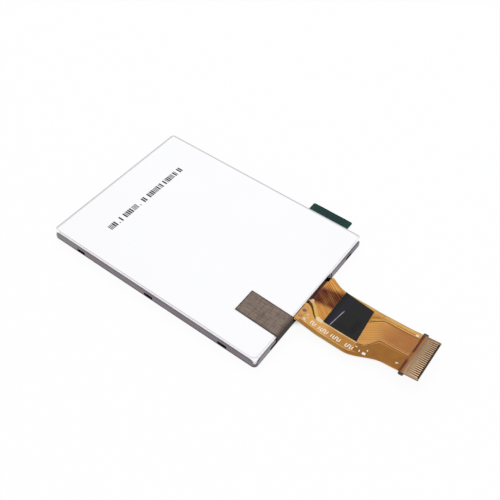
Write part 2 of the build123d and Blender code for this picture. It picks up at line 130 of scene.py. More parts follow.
floor_paper, tree = new_material("white_paper_backdrop")
path = node(tree, "ShaderNodeLightPath")
seen = node(tree, "ShaderNodeMath", {
    0: path.outputs["Is Camera Ray"], 1: path.outputs["Is Glossy Ray"],
}, operation="ADD")
seen = node(tree, "ShaderNodeMath", {
    0: seen, 1: path.outputs["Is Transmission Ray"],
}, operation="ADD", use_clamp=True)
open_sky = node(tree, "ShaderNodeAmbientOcclusion", {"Distance": shade_reach})
lit = node(tree, "ShaderNodeMapRange", {
    "Value": open_sky.outputs["AO"], "From Min": shade_darkest, "From Max": shade_faintest,
    "To Max": floor_glow_share,
})
share = node(tree, "ShaderNodeMath", {0: seen, 1: lit}, operation="MULTIPLY")
matt = node(tree, "ShaderNodeBsdfDiffuse", {"Color": linear(floor_white)})
glow = node(tree, "ShaderNodeEmission", {"Color": (1, 1, 1, 1), "Strength": 1.0})
both = node(tree, "ShaderNodeMixShader", {0: share, 1: matt, 2: glow})
node(tree, "ShaderNodeOutputMaterial", {"Surface": both})

builder = bmesh.new()
bmesh.ops.create_grid(builder, x_segments=4, y_segments=4, size=floor_size / 2)
bmesh.ops.translate(builder, verts=builder.verts, vec=(0, 0, -floor_drop))
floor = mesh_object("paper_floor", builder, floor_paper)

# Light: a white studio tent all round, a large softbox behind the module on its left,
# and a smaller one above the camera, which gives the metal and the film their soft streaks.
tent_strength = 0.69
tent_white = "FCFCFF"
softboxes = {
    "back_softbox": ((-0.35, 0.45, 0.75), 0.6, 2.2),
    "front_softbox": ((0.30, -0.15, 0.60), 0.25, 0.6),
}
world = bpy.data.worlds.new("studio_tent")
bpy.context.scene.world = world
world.use_nodes = True
tree = world.node_tree
tree.nodes.clear()
path = node(tree, "ShaderNodeLightPath")
strength = node(tree, "ShaderNodeMapRange", {
    "Value": path.outputs["Is Camera Ray"], "To Min": tent_strength, "To Max": 1.0,
})
sky = node(tree, "ShaderNodeBackground", {"Color": linear(tent_white), "Strength": strength})
node(tree, "ShaderNodeOutputWorld", {"Surface": sky})
for name, (place, size, power) in softboxes.items():
    lamp = bpy.data.lights.new(name, "AREA")
    lamp.size = size
    lamp.energy = power
    light = bpy.data.objects.new(name, lamp)
    light.location = place
    light.rotation_mode = "QUATERNION"
    light.rotation_quaternion = (-Vector(place)).to_track_quat("-Z", "Y")
    bpy.context.collection.objects.link(light)

# Protective film: clear polyester over the screen, with a tongue that sticks out under the tab.
# It is blown and slit film: clear, with a weak gloss and faint handling marks.


def satin(name, colour, grain_mm, detail, rough_range, looks):
    """One colour whose roughness wanders in grains of a size in mm; looks holds the rest."""
    material, tree = new_material(name)
    place = node(tree, "ShaderNodeTexCoord").outputs["Object"]
    grain = node(tree, "ShaderNodeTexNoise", {"Vector": place, "Scale": 1000 / grain_mm, "Detail": detail})
    smooth, coarse = rough_range
    rough = node(tree, "ShaderNodeMapRange", {"Value": grain, "To Min": smooth, "To Max": coarse})
    shader = node(tree, "ShaderNodeBsdfPrincipled", {
        "Base Color": linear(colour), "Roughness": rough, **looks,
    })
    node(tree, "ShaderNodeOutputMaterial", {"Surface": shader})
    return material


clear_film = satin("clear_polyester_film_slit", "F4F8FA", grain_mm=1.5, detail=4.0,
                   rough_range=(0.05, 0.22), looks={"IOR": 1.57, "Transmission Weight": 0.85})
nodes["protective_film"].data.materials[0] = clear_film

# Pull tab: dark green polyester tape stuck on the film's tongue, cut with rounded corners.
# The printed film is a deep bottle green, greener where light comes through near its ends.
mm = 0.001
tab_low, tab_high = (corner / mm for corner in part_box("film_pull_tab"))
tab_corner_radius = 0.4
tab_end_overlap = 0.06
tab_inset = 0.01
tab_spacing = 0.2
tab_ripple = 0.02
tab_dark = "0A3330"
tab_green = "0C4237"
tab_grain_mm = 0.3
tab_green_from = 3.2
tab_green_full = 5.4


def round_corners(corners, radii, steps=6):
    """Outline in plan with each corner rounded to its radius; a radius of zero keeps it sharp."""
    outline = []
    for n, corner in enumerate(corners):
        corner = Vector(corner)
        before = (Vector(corners[n - 1]) - corner).normalized()
        after = (Vector(corners[(n + 1) % len(corners)]) - corner).normalized()
        if not radii[n]:
            outline.append(corner)
            continue
        turn = before.angle(after)
        setback = radii[n] / math.tan(turn / 2)
        start, end = corner + before * setback, corner + after * setback
        centre = corner + (before + after).normalized() * radii[n] / math.sin(turn / 2)
        for step in range(steps + 1):
            spoke = (start - centre).lerp(end - centre, step / steps).normalized()
            outline.append(centre + spoke * radii[n])
    return outline


def thin_sheet(name, outline, spacing, top, thickness, material):
    """Closed sheet cut to an outline in plan. top(x, y) is the height of its face, all in mm."""
    edge_points = []
    for a, b in zip(outline, outline[1:] + outline[:1]):
        steps = max(1, round((b - a).length / spacing))
        edge_points += [a.lerp(b, n / steps) for n in range(steps)]
    rim = np.array([tuple(p) for p in edge_points])
    low, high = rim.min(0), rim.max(0)
    columns = np.arange(low[0] + spacing / 2, high[0], spacing)
    rows = np.arange(low[1] + spacing / 2, high[1], spacing)
    grid = np.array(np.meshgrid(columns, rows)).reshape(2, -1).T
    apart = np.sqrt(((grid[:, None] - rim[None]) ** 2).sum(2)).min(1)
    inner = [Vector(p) for p in grid[apart > spacing / 2]]
    rim_loop = list(range(len(edge_points)))
    flat = delaunay_2d_cdt(edge_points + inner, [], [rim_loop], 1, spacing / 1000)
    builder = bmesh.new()
    upper = [builder.verts.new((x * mm, y * mm, top(x, y) * mm)) for x, y in flat[0]]
    for face in flat[2]:
        builder.faces.new([upper[n] for n in face]).smooth = True
    bmesh.ops.delete(builder, geom=[v for v in upper if not v.link_faces], context="VERTS")
    builder.normal_update()
    upper = list(builder.verts)
    lower = {v: builder.verts.new(v.co - v.normal * thickness * mm) for v in upper}
    faces = list(builder.faces)
    sides = [edge.link_loops[0] for edge in builder.edges if edge.is_boundary]
    sides = [(loop.vert, loop.link_loop_next.vert) for loop in sides]
    for face in faces:
        builder.faces.new([lower[v] for v in reversed(face.verts)]).smooth = True
    for a, b in sides:
        builder.faces.new((b, a, lower[a], lower[b]))
        builder.edges.get((a, b)).smooth = False
        builder.edges.get((lower[a], lower[b])).smooth = False
    return mesh_object(name, builder, material)


green_film, tree = new_material("green_polyester_tape_printed")
place = node(tree, "ShaderNodeTexCoord").outputs["Object"]
axes = node(tree, "ShaderNodeSeparateXYZ", {0: place}).outputs
tab_middle = (tab_low.x + tab_high.x) / 2 * mm
off_middle = node(tree, "ShaderNodeMath", {0: axes["X"], 1: tab_middle}, operation="SUBTRACT")
off_middle = node(tree, "ShaderNodeMath", {0: off_middle}, operation="ABSOLUTE")
near_end = node(tree, "ShaderNodeMapRange", {
    "Value": off_middle, "From Min": tab_green_from * mm, "From Max": tab_green_full * mm,
})
grain = node(tree, "ShaderNodeTexNoise", {"Vector": place, "Scale": 1000 / tab_grain_mm, "Detail": 3.0})
tone = node(tree, "ShaderNodeMix", {
    0: near_end, 6: linear(tab_dark), 7: linear(tab_green),
}, data_type="RGBA")
speckle = node(tree, "ShaderNodeMapRange", {"Value": grain, "To Min": 0.85, "To Max": 1.2})
tone = node(tree, "ShaderNodeVectorMath", {0: tone, 1: speckle}, operation="MULTIPLY")
bump = node(tree, "ShaderNodeBump", {"Height": grain, "Strength": 0.15, "Distance": 0.02 * mm})
shader = node(tree, "ShaderNodeBsdfPrincipled", {
    "Base Color": tone, "Roughness": 0.42, "IOR": 1.5, "Specular IOR Level": 0.12, "Normal": bump,
})
node(tree, "ShaderNodeOutputMaterial", {"Surface": shader})


def tab_top(x, y):
    """The tab lies almost flat, with a slow ripple that a hand-laid tape has."""
    share = (y - tab_low.y) / (tab_high.y - tab_low.y)
    wave = math.sin(x * 1.1) * math.sin(y * 0.9 + 1)
    return tab_high.z + tab_ripple * share * (1 + wave)


tab_end_x = tab_high.x + tab_end_overlap
tab_top_y = tab_high.y - tab_inset
tab_corners = [
    (tab_low.x, tab_low.y), (tab_end_x, tab_low.y), (tab_end_x, tab_top_y), (tab_low.x, tab_top_y),
]
tab_outline = round_corners(tab_corners, [0, 0, tab_corner_radius, tab_corner_radius])
pull_tab = thin_sheet("green_pull_tab", tab_outline, tab_spacing, tab_top,
                      tab_high.z - tab_low.z, green_film)
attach(pull_tab, "root")
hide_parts("film_pull_tab")

# Bezel: a tray drawn from 0.2 mm stainless sheet round the cell and the backlight.
# Cold rolling leaves fine lines along the sheet. Drawing and handling leave it a dull, purplish
# grey; towards its foot it is darkened by a painted shade.
rolling_line_mm = 0.06
rolling_stretch = 0.04
stain_mm = 7.0
steel_grey = "817B81"
steel_purple = "74656F"
steel_dark = "5C555E"
steel_green = "7E7D75"
steel_painted_foot_shade = "2E272B"
green_from, green_full = -12, -26
dark_from, dark_full = 6, 17
foot_low, foot_high = 0.25, 1.0
stainless, tree = new_material("stainless_sheet_cold_rolled")
place = node(tree, "ShaderNodeTexCoord").outputs["Object"]
axes = node(tree, "ShaderNodeSeparateXYZ", {0: place}).outputs
stretched = node(tree, "ShaderNodeMapping", {"Vector": place, "Scale": (rolling_stretch, 1, 1)})
lines = node(tree, "ShaderNodeTexNoise", {
    "Vector": stretched, "Scale": 1000 / rolling_line_mm, "Detail": 3.0,
})
stains = node(tree, "ShaderNodeTexNoise", {"Vector": place, "Scale": 1000 / stain_mm, "Detail": 2.0})
tint = node(tree, "ShaderNodeMapRange", {"Value": stains, "From Min": 0.35, "From Max": 0.65})
tone = node(tree, "ShaderNodeMix", {
    0: tint, 6: linear(steel_grey), 7: linear(steel_purple),
}, data_type="RGBA")
dull = node(tree, "ShaderNodeMapRange", {"Value": lines, "From Min": 0.3, "From Max": 0.75, "To Max": 0.45})
far_end = node(tree, "ShaderNodeMapRange", {
    "Value": axes["X"], "From Min": green_from * mm, "From Max": green_full * mm, "To Max": 0.7,
})
far_side = node(tree, "ShaderNodeMapRange", {
    "Value": axes["Y"], "From Min": dark_from * mm, "From Max": dark_full * mm, "To Max": 0.9,
})
# Painted shade: the wall is darkened towards its foot.
foot = node(tree, "ShaderNodeMapRange", {
    "Value": axes["Z"], "From Min": foot_low * mm, "From Max": foot_high * mm, "To Min": 0.85,
    "To Max": 0.0,
}, interpolation_type="SMOOTHSTEP")
for share, colour in (
    (dull, steel_dark), (far_end, steel_green), (far_side, steel_dark), (foot, steel_painted_foot_shade),
):
    tone = node(tree, "ShaderNodeMix", {0: share, 6: tone, 7: linear(colour)}, data_type="RGBA")
rough = node(tree, "ShaderNodeMapRange", {"Value": lines, "To Min": 0.26, "To Max": 0.46})
bump = node(tree, "ShaderNodeBump", {"Height": lines, "Strength": 0.25, "Distance": 0.01 * mm})
shader = node(tree, "ShaderNodeBsdfPrincipled", {
    "Base Color": tone, "Metallic": 1.0, "Roughness": rough, "Normal": bump,
})
node(tree, "ShaderNodeOutputMaterial", {"Surface": shader})
nodes["metal_bezel"].data.materials[0] = stainless

# Cell: two sheets of display glass with a polariser on each outer face, and the driver chip
# bonded to the rear glass's ledge. From the front it is a black mirror when it is off, and the
# cut edges of the glass are inked black against stray light; the ink is given a faint painted glow.
polariser_film = satin("polariser_film_cast_antiglare", "0B0C0F", grain_mm=0.08, detail=2.0,
                       rough_range=(0.12, 0.26), looks={"IOR": 1.5})
for name in ("front_polariser", "rear_polariser"):
    nodes[name].data.materials[0] = polariser_film

glass_wave_mm = 6.0
edge_tilt = 0.5
display_glass, tree = new_material("display_glass_drawn_and_cut")
place = node(tree, "ShaderNodeTexCoord").outputs["Object"]
wave = node(tree, "ShaderNodeTexNoise", {"Vector": place, "Scale": 1000 / glass_wave_mm, "Detail": 1.0})
rough = node(tree, "ShaderNodeMapRange", {"Value": wave, "To Min": 0.02, "To Max": 0.08})
shader = node(tree, "ShaderNodeBsdfPrincipled", {
    "Base Color": linear("DCEBE4"), "Roughness": rough, "IOR": 1.52, "Transmission Weight": 0.9,
})
shape = node(tree, "ShaderNodeNewGeometry")
facing = node(tree, "ShaderNodeSeparateXYZ", {0: shape.outputs["Normal"]})
facing = node(tree, "ShaderNodeMath", {0: facing.outputs["Z"]}, operation="ABSOLUTE")
cut_edge = node(tree, "ShaderNodeMath", {0: facing, 1: edge_tilt}, operation="LESS_THAN")
# The inked cut edges are given a faint painted glow, a dark purple grey instead of black.
edge_ink_painted_glow = node(tree, "ShaderNodeBsdfPrincipled", {
    "Base Color": linear("453B42"), "Roughness": 0.7, "Emission Color": linear("443A41"),
    "Emission Strength": 0.6,
})
shader = node(tree, "ShaderNodeMixShader", {0: cut_edge, 1: shader, 2: edge_ink_painted_glow})
node(tree, "ShaderNodeOutputMaterial", {"Surface": shader})
for name in ("colour_filter_glass", "tft_glass"):
    nodes[name].data.materials[0] = display_glass

grinding_mm = 0.05
grinding_stretch = 0.05
chip_silicon, tree = new_material("silicon_chip_ground_back")
place = node(tree, "ShaderNodeTexCoord").outputs["Object"]
stretched = node(tree, "ShaderNodeMapping", {"Vector": place, "Scale": (1, grinding_stretch, 1)})
grain = node(tree, "ShaderNodeTexNoise", {"Vector": stretched, "Scale": 1000 / grinding_mm})
tone = node(tree, "ShaderNodeMix", {0: grain, 6: linear("2C2D33"), 7: linear("4A4C55")}, data_type="RGBA")
shader = node(tree, "ShaderNodeBsdfPrincipled", {"Base Color": tone, "Metallic": 0.7, "Roughness": 0.25})
node(tree, "ShaderNodeOutputMaterial", {"Surface": shader})
nodes["driver_chip"].data.materials[0] = chip_silicon

# Frame: white polycarbonate, moulded, with the satin face of a spark-eroded mould.
# It is filled to bounce the lamps' light, so it is a milky white. Its thin sides above the bezel
# are given a painted glow, and its rim is painted grey with shade on its two far sides.
spark_grain_mm = 0.12
painted_side_glow = 0.24
painted_face_glow = 0.02
painted_glow_depth = 0.0003
rim_shade_width = 0.0006
painted_rim_shade_grey = "BEBDBD"
white_resin, tree = new_material("white_polycarbonate_moulded")
place = node(tree, "ShaderNodeTexCoord").outputs["Object"]
grain = node(tree, "ShaderNodeTexNoise", {"Vector": place, "Scale": 1000 / spark_grain_mm, "Detail": 2.0})
tone = node(tree, "ShaderNodeMix", {0: grain, 6: linear("EDEBEE"), 7: linear("F8F7F9")}, data_type="RGBA")
axes = node(tree, "ShaderNodeSeparateXYZ", {0: place}).outputs
frame_low, frame_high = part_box("backlight_frame")
# Painted shade: a grey band along the rim on the left and far sides.
left_rim = node(tree, "ShaderNodeMapRange", {
    "Value": axes["X"], "From Min": frame_low.x + rim_shade_width, "From Max": frame_low.x + rim_shade_width / 4,
})
far_rim = node(tree, "ShaderNodeMapRange", {
    "Value": axes["Y"], "From Min": frame_high.y - rim_shade_width, "From Max": frame_high.y - rim_shade_width / 4,
})
painted_rim_shade = node(tree, "ShaderNodeMath", {0: left_rim, 1: far_rim}, operation="MAXIMUM")
tone = node(tree, "ShaderNodeMix", {0: painted_rim_shade, 6: tone, 7: linear(painted_rim_shade_grey)}, data_type="RGBA")
bump = node(tree, "ShaderNodeBump", {"Height": grain, "Strength": 0.2, "Distance": 0.01 * mm})
shape = node(tree, "ShaderNodeNewGeometry")
facing = node(tree, "ShaderNodeSeparateXYZ", {0: shape.outputs["Normal"]})
# Painted glow on the thin sides above the bezel, as if lit through the resin; faint on the faces.
side = node(tree, "ShaderNodeMapRange", {
    "Value": facing.outputs["Z"], "From Min": 0.4, "From Max": 0.8, "To Min": painted_side_glow,
    "To Max": painted_face_glow,
})
bezel_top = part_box("metal_bezel")[1].z
above_bezel = node(tree, "ShaderNodeMapRange", {
    "Value": axes["Z"], "From Min": bezel_top - painted_glow_depth, "From Max": bezel_top,
})
side = node(tree, "ShaderNodeMath", {0: side, 1: above_bezel}, operation="MULTIPLY")
shader = node(tree, "ShaderNodeBsdfPrincipled", {
    "Base Color": tone, "Roughness": 0.45, "IOR": 1.58, "Normal": bump, "Emission Color": linear("F6F5F7"),
    "Emission Strength": side,
})
node(tree, "ShaderNodeOutputMaterial", {"Surface": shader})
nodes["backlight_frame"].data.materials[0] = white_resin

# Backlight stack: black shading tape on the rim, two prism films, a diffuser and the light guide.
# The films are embossed or coated polyester with a pearly look, and the guide is clear acrylic.
shading_tape = satin("black_polyester_tape_matt", "17171A", grain_mm=0.2, detail=3.0,
                     rough_range=(0.4, 0.6), looks={})
nodes["rim_tape"].data.materials[0] = shading_tape

# The wave texture turns by 20 radians in each unit, so these ridges are drawn six times as
# coarse as real ones, and show.
prism_pitch_mm = 0.05
radians_per_unit = 20
pearly_film, tree = new_material("optical_polyester_film_embossed")
place = node(tree, "ShaderNodeTexCoord").outputs["Object"]
ridges = node(tree, "ShaderNodeTexWave", {
    "Vector": place, "Scale": 1000 / prism_pitch_mm / radians_per_unit,
})
bump = node(tree, "ShaderNodeBump", {
    "Height": ridges.outputs["Fac"], "Strength": 0.2, "Distance": 0.01 * mm,
})
shader = node(tree, "ShaderNodeBsdfPrincipled", {
    "Base Color": linear("E9ECEF"), "Roughness": 0.3, "IOR": 1.57, "Transmission Weight": 0.3,
    "Normal": bump,
})
node(tree, "ShaderNodeOutputMaterial", {"Surface": shader})
for name in ("prism_film_upper", "prism_film_lower", "diffuser_film"):
    nodes[name].data.materials[0] = pearly_film

guide_dot_mm = 0.25
guide_acrylic, tree = new_material("acrylic_light_guide_moulded")
place = node(tree, "ShaderNodeTexCoord").outputs["Object"]
dots = node(tree, "ShaderNodeTexVoronoi", {"Vector": place, "Scale": 1000 / guide_dot_mm})
rough = node(tree, "ShaderNodeMapRange", {
    "Value": dots.outputs["Distance"], "To Min": 0.25, "To Max": 0.04,
})
shader = node(tree, "ShaderNodeBsdfPrincipled", {
    "Base Color": linear("F2F6F6"), "Roughness": rough, "IOR": 1.49, "Transmission Weight": 0.9,
})
node(tree, "ShaderNodeOutputMaterial", {"Surface": shader})
nodes["light_guide"].data.materials[0] = guide_acrylic

# Lamps: five side-emitting diodes in white resin bodies, on a narrow amber flex of their own.
# The bodies are moulded; the yellow phosphor shows in their mouths.
mouth_depth = 0.0001
resin_grain_mm = 0.1
lamp_resin, tree = new_material("lamp_resin_moulded_with_phosphor")
place = node(tree, "ShaderNodeTexCoord").outputs["Object"]
axes = node(tree, "ShaderNodeSeparateXYZ", {0: place}).outputs
lamp_back, lamp_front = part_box("led_1")
mouth_x = (lamp_back.x + lamp_front.x) / 2 - mouth_depth
deep = node(tree, "ShaderNodeMath", {0: axes["X"], 1: mouth_x}, operation="LESS_THAN")
grain = node(tree, "ShaderNodeTexNoise", {"Vector": place, "Scale": 1000 / resin_grain_mm})
white = node(tree, "ShaderNodeMix", {0: grain, 6: linear("E9E6DA"), 7: linear("F5F3EA")}, data_type="RGBA")
tone = node(tree, "ShaderNodeMix", {0: deep, 6: white, 7: linear("EBDD8A")}, data_type="RGBA")
shader = node(tree, "ShaderNodeBsdfPrincipled", {"Base Color": tone, "Roughness": 0.5})
node(tree, "ShaderNodeOutputMaterial", {"Surface": shader})
for name in nodes:
    if name.startswith("led_") and name != "led_flex":
        nodes[name].data.materials[0] = lamp_resin

# Reflector: a bright white film that closes the back, die-cut with round corners.
# It is foamed polyester, calendered: nearly pure white, with a very faint slow waviness. Its cut
# edge is painted grey as shade at the step down to the rim, fading to white towards +x.
reflector_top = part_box("reflector_sheet")[1].z / mm
reflector_wave_mm = 16.0
reflector_grain_mm = 0.15
shade_fade_from = 14
shade_fade_to = 23
cut_edge_painted_shade = "B4B3B2"
cut_edge_white = "F4F4F4"
white_film, tree = new_material("white_reflector_film_calendered")
place = node(tree, "ShaderNodeTexCoord").outputs["Object"]
slow = node(tree, "ShaderNodeTexNoise", {"Vector": place, "Scale": 1000 / reflector_wave_mm, "Detail": 1.0})
fine = node(tree, "ShaderNodeTexNoise", {
    "Vector": place, "Scale": 1000 / reflector_grain_mm, "Detail": 3.0,
})
tone = node(tree, "ShaderNodeMix", {0: slow, 6: linear("FBFBFB"), 7: linear("FEFEFE")}, data_type="RGBA")
height = node(tree, "ShaderNodeMath", {0: fine, 1: 0.02, 2: slow}, operation="MULTIPLY_ADD")
bump = node(tree, "ShaderNodeBump", {"Height": height, "Strength": 0.3, "Distance": 0.2 * mm})
shape = node(tree, "ShaderNodeNewGeometry")
facing = node(tree, "ShaderNodeSeparateXYZ", {0: shape.outputs["Normal"]})
cut_edge = node(tree, "ShaderNodeMath", {0: facing.outputs["Z"], 1: edge_tilt}, operation="LESS_THAN")
axes = node(tree, "ShaderNodeSeparateXYZ", {0: place}).outputs
# Painted shade on the cut edge fades out along x.
shade_fading = node(tree, "ShaderNodeMapRange", {
    "Value": axes["X"], "From Min": shade_fade_from * mm, "From Max": shade_fade_to * mm,
})
edge_tone = node(tree, "ShaderNodeMix", {
    0: shade_fading, 6: linear(cut_edge_painted_shade), 7: linear(cut_edge_white),
}, data_type="RGBA")
tone = node(tree, "ShaderNodeMix", {0: cut_edge, 6: tone, 7: edge_tone}, data_type="RGBA")
shader = node(tree, "ShaderNodeBsdfPrincipled", {
    "Base Color": tone, "Roughness": 0.4, "IOR": 1.5, "Normal": bump,
})
node(tree, "ShaderNodeOutputMaterial", {"Surface": shader})
nodes["reflector_sheet"].data.materials[0] = white_film

# Ink marks on the back: one row of plain ticks and dots, jetted in black across the module.
# Each mark is a block of small round drops, as a date coder leaves them; they say nothing.
drop_pitch = 0.19
drop_radius = 0.135
drop_height = 0.004
drop_sides = 8
mark_rows = 8
mark_pitch = 1.17
mark_start = Vector((-17.72, -12.9))
tick_kinds = ((0, 2, 4), (0, 1), (2,), (0, 1, 3, 4), (1, 2, 4), (0, 1, 4), (3, 4), (0, 1, 4))
tick_order = (0, 3, 2, 1, 4, 3, 5, 0, 2, 6, 1, 4, 3, 0, 5, 1, 7, 3, 0, 4, 6, 1)
dot_mark = 2


def mottled(name, dark, light, grain_mm, detail, looks):
    """Two tones in grains of a size in mm; looks holds the shader's other inputs."""
    material, tree = new_material(name)
    place = node(tree, "ShaderNodeTexCoord").outputs["Object"]
    grain = node(tree, "ShaderNodeTexNoise", {"Vector": place, "Scale": 1000 / grain_mm, "Detail": detail})
    tone = node(tree, "ShaderNodeMix", {0: grain, 6: linear(dark), 7: linear(light)}, data_type="RGBA")
    shader = node(tree, "ShaderNodeBsdfPrincipled", {"Base Color": tone, **looks})
    node(tree, "ShaderNodeOutputMaterial", {"Surface": shader})
    return material


def drops(name, places, radius, height, level, material):
    """Low round drops at places in plan, all standing on one level; mm."""
    builder = bmesh.new()
    for x, y in places:
        turns = [math.tau * n / drop_sides for n in range(drop_sides)]
        ring = [(x + radius * math.cos(turn), y + radius * math.sin(turn)) for turn in turns]
        low = [builder.verts.new((u * mm, v * mm, level * mm)) for u, v in ring]
        high = [builder.verts.new(v.co + Vector((0, 0, height * mm))) for v in low]
        builder.faces.new(high)
        builder.faces.new(reversed(low))
        for n in range(drop_sides):
            m = (n + 1) % drop_sides
            builder.faces.new((low[n], low[m], high[m], high[n]))
    return mesh_object(name, builder, material)


jet_ink = mottled("black_ink_jetted", "1B1B1D", "3A3A3C", grain_mm=0.3, detail=2.0,
                  looks={"Roughness": 0.55})
drop_places = []
for number, kind in enumerate(tick_order):
    for column in tick_kinds[kind]:
        rows = range(2) if kind == dot_mark else range(mark_rows)
        for row in rows:
            shift = Vector((-row * drop_pitch, number * mark_pitch + column * drop_pitch))
            drop_places.append(mark_start + shift)
back_ticks = drops("back_ink_ticks", drop_places, drop_radius, drop_height, reflector_top, jet_ink)
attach(back_ticks, "root")

# Main flex: copper between two amber polyimide films, glued under the glass's ledge.
# It comes up through the gap in the bezel, bulges, and settles on the table; its tip lifts.
# The bare film is a glossy, glowing amber; copper under it turns it orange and brown.
flex_low, flex_high = (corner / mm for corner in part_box("main_flex"))
bezel_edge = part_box("metal_bezel")[1].x / mm
flex_thickness = 0.12
flex_spacing = 0.2
profile_step = 0.1
profile_smoothing = 5
panel_leg_y = 3.0
lamp_leg_y = -6.0
tail_top_y = 5.8
tail_bottom_y = -4.9
neck_start_x = bezel_edge + 11.9
neck_end_x = bezel_edge + 20.0
leg_top_y = 7.0
flare_start_x = bezel_edge - 0.1
flare_end_x = bezel_edge + 4.5
torn_from_y = 5.2
torn_gap = 0.6
legs_join_x = bezel_edge + 2.5
panel_leg_end_x = flex_low.x + 0.1
lamp_leg_end_x = bezel_edge - 1.15
slit_panel_side = ((28.3, -1.5), (29.1, -1.85), (30.2, -2.62), (31.35, -3.78), (32.1, -4.35))
slit_lamp_side = ((32.0, -4.52), (31.2, -3.98), (30.1, -2.98), (29.2, -2.5), (28.3, -2.4))
leg_droop = 0.2
droop_start_y, droop_full_y = 4.5, 8.2
crest_x = bezel_edge + 0.2
crest_level = 2.62
ripple = 0.03


def smooth_profile(y, x_from, x_to):
    """The flex's side view along one line, read from the solid's upper face and smoothed."""
    mesh = nodes["main_flex"].data
    solid = BVHTree.FromPolygons([v.co for v in mesh.vertices], [p.vertices for p in mesh.polygons])
    down = Vector((0, 0, -1))
    stations = np.arange(x_from, x_to, profile_step)
    heights = [solid.ray_cast(Vector((x * mm, y * mm, 1)), down)[0].z / mm for x in stations]
    kernel = np.ones(profile_smoothing) / profile_smoothing
    for _ in range(2):
        padded = np.pad(heights, profile_smoothing // 2, mode="edge")
        heights = np.convolve(padded, kernel, mode="valid")
    return stations, heights


def ease(value, start, end):
    """Smooth step from 0 to 1 as value goes from start to end."""
    share = min(1, max(0, (value - start) / (end - start)))
    return share * share * (3 - 2 * share)


panel_profile = smooth_profile(panel_leg_y, flex_low.x + 0.05, flex_high.x - 0.02)
lamp_profile = smooth_profile(lamp_leg_y, lamp_leg_end_x, legs_join_x + 1)
slit_middle = [
    ((a[0] + b[0]) / 2, (a[1] + b[1]) / 2)
    for a, b in zip(slit_panel_side, reversed(slit_lamp_side))
]


def flex_top(x, y):
    """Height of the flex's upper face: two legs beside the slit, one sheet beyond it."""
    below_slit = y < np.interp(x, *zip(*slit_middle))
    leg = lamp_profile if below_slit and x < legs_join_x else panel_profile
    at_edge = x < bezel_edge + 1 and not below_slit
    away = torn_gap * ease(y, torn_from_y - 0.2, torn_from_y + 0.3) if at_edge else 0
    height = float(np.interp(x - away, *leg))
    if at_edge:
        snug = ease(x, bezel_edge - 0.3, bezel_edge - 0.05) * (1 - ease(x, bezel_edge, crest_x))
        snug *= 1 - ease(y, torn_from_y - 0.3, torn_from_y)
        height += max(0, crest_level - height) * snug
    if not below_slit:
        near_panel = 1 - ease(x, bezel_edge + 0.5, bezel_edge + 5)
        sagging = ease(y, droop_start_y, droop_full_y) * ease(x, bezel_edge - 1, bezel_edge)
        height -= leg_droop * sagging * near_panel
    settled = ease(x, bezel_edge + 3, bezel_edge + 7) * (1 - ease(x, flex_high.x - 5, flex_high.x))
    wave = math.sin(x * 0.8 + y * 0.35) + math.sin(x * 0.37 - y * 0.9 + 2)
    return height + ripple * settled * wave / 2


def smooth_route(points, steps=8):
    """Points along a smooth curve through a few chosen ones, in plan."""
    points = [Vector(p) for p in points]
    ends = [2 * points[0] - points[1], *points, 2 * points[-1] - points[-2]]
    route = []
    for a, b, c, d in zip(ends, ends[1:], ends[2:], ends[3:]):
        for n in range(steps):
            t = n / steps
            route.append(
                (2 * b + (c - a) * t + (2 * a - 5 * b + 4 * c - d) * t**2
                 + (3 * b - a - 3 * c + d) * t**3) / 2
            )
    return route + [points[-1]]


def eased_route(start, end, steps=10):
    """Points from start to end that leave and arrive along the flex."""
    return [
        Vector((start[0] + (end[0] - start[0]) * n / steps,
                start[1] + (end[1] - start[1]) * ease(n, 0, steps)))
        for n in range(steps + 1)
    ]


neck_outline = eased_route((neck_end_x, tail_bottom_y), (neck_start_x, flex_low.y), 16)
flare_outline = eased_route((flare_end_x, tail_top_y), (flare_start_x, leg_top_y), 14)
flex_outline = [
    Vector((panel_leg_end_x, leg_top_y)),
    Vector((panel_leg_end_x, slit_panel_side[0][1])),
    *smooth_route(slit_panel_side),
    *smooth_route(slit_lamp_side),
    Vector((lamp_leg_end_x, slit_lamp_side[-1][1])),
    Vector((lamp_leg_end_x, flex_low.y)),
    *reversed(neck_outline),
    Vector((flex_high.x, tail_bottom_y)),
    Vector((flex_high.x, tail_top_y)),
    *flare_outline,
]

film_patch_mm = 2.5
film_grain_mm = 0.05
film_gloss = 0.15
cloud_share = 0.3


def near_line(tree, axes, slope, offset, inner, outer, across="Y"):
    """Share that is 1 on the line across = slope * lengthways + offset and fades beside it; mm."""
    lengthways = axes["Y" if across == "X" else "X"]
    lean = node(tree, "ShaderNodeMath", {
        0: lengthways, 1: -slope, 2: axes[across],
    }, operation="MULTIPLY_ADD")
    away = node(tree, "ShaderNodeMath", {0: lean, 1: offset * mm}, operation="SUBTRACT")
    away = node(tree, "ShaderNodeMath", {0: away}, operation="ABSOLUTE")
    return node(tree, "ShaderNodeMapRange", {
        "Value": away, "From Min": inner * mm, "From Max": outer * mm, "To Min": 1.0, "To Max": 0.0,
    }, interpolation_type="SMOOTHSTEP")


def onwards(tree, axes, start, end, axis="X"):
    """Share that goes from 0 to 1 between two places along an axis; mm."""
    return node(tree, "ShaderNodeMapRange", {
        "Value": axes[axis], "From Min": start * mm, "From Max": end * mm,
    }, interpolation_type="SMOOTHSTEP")


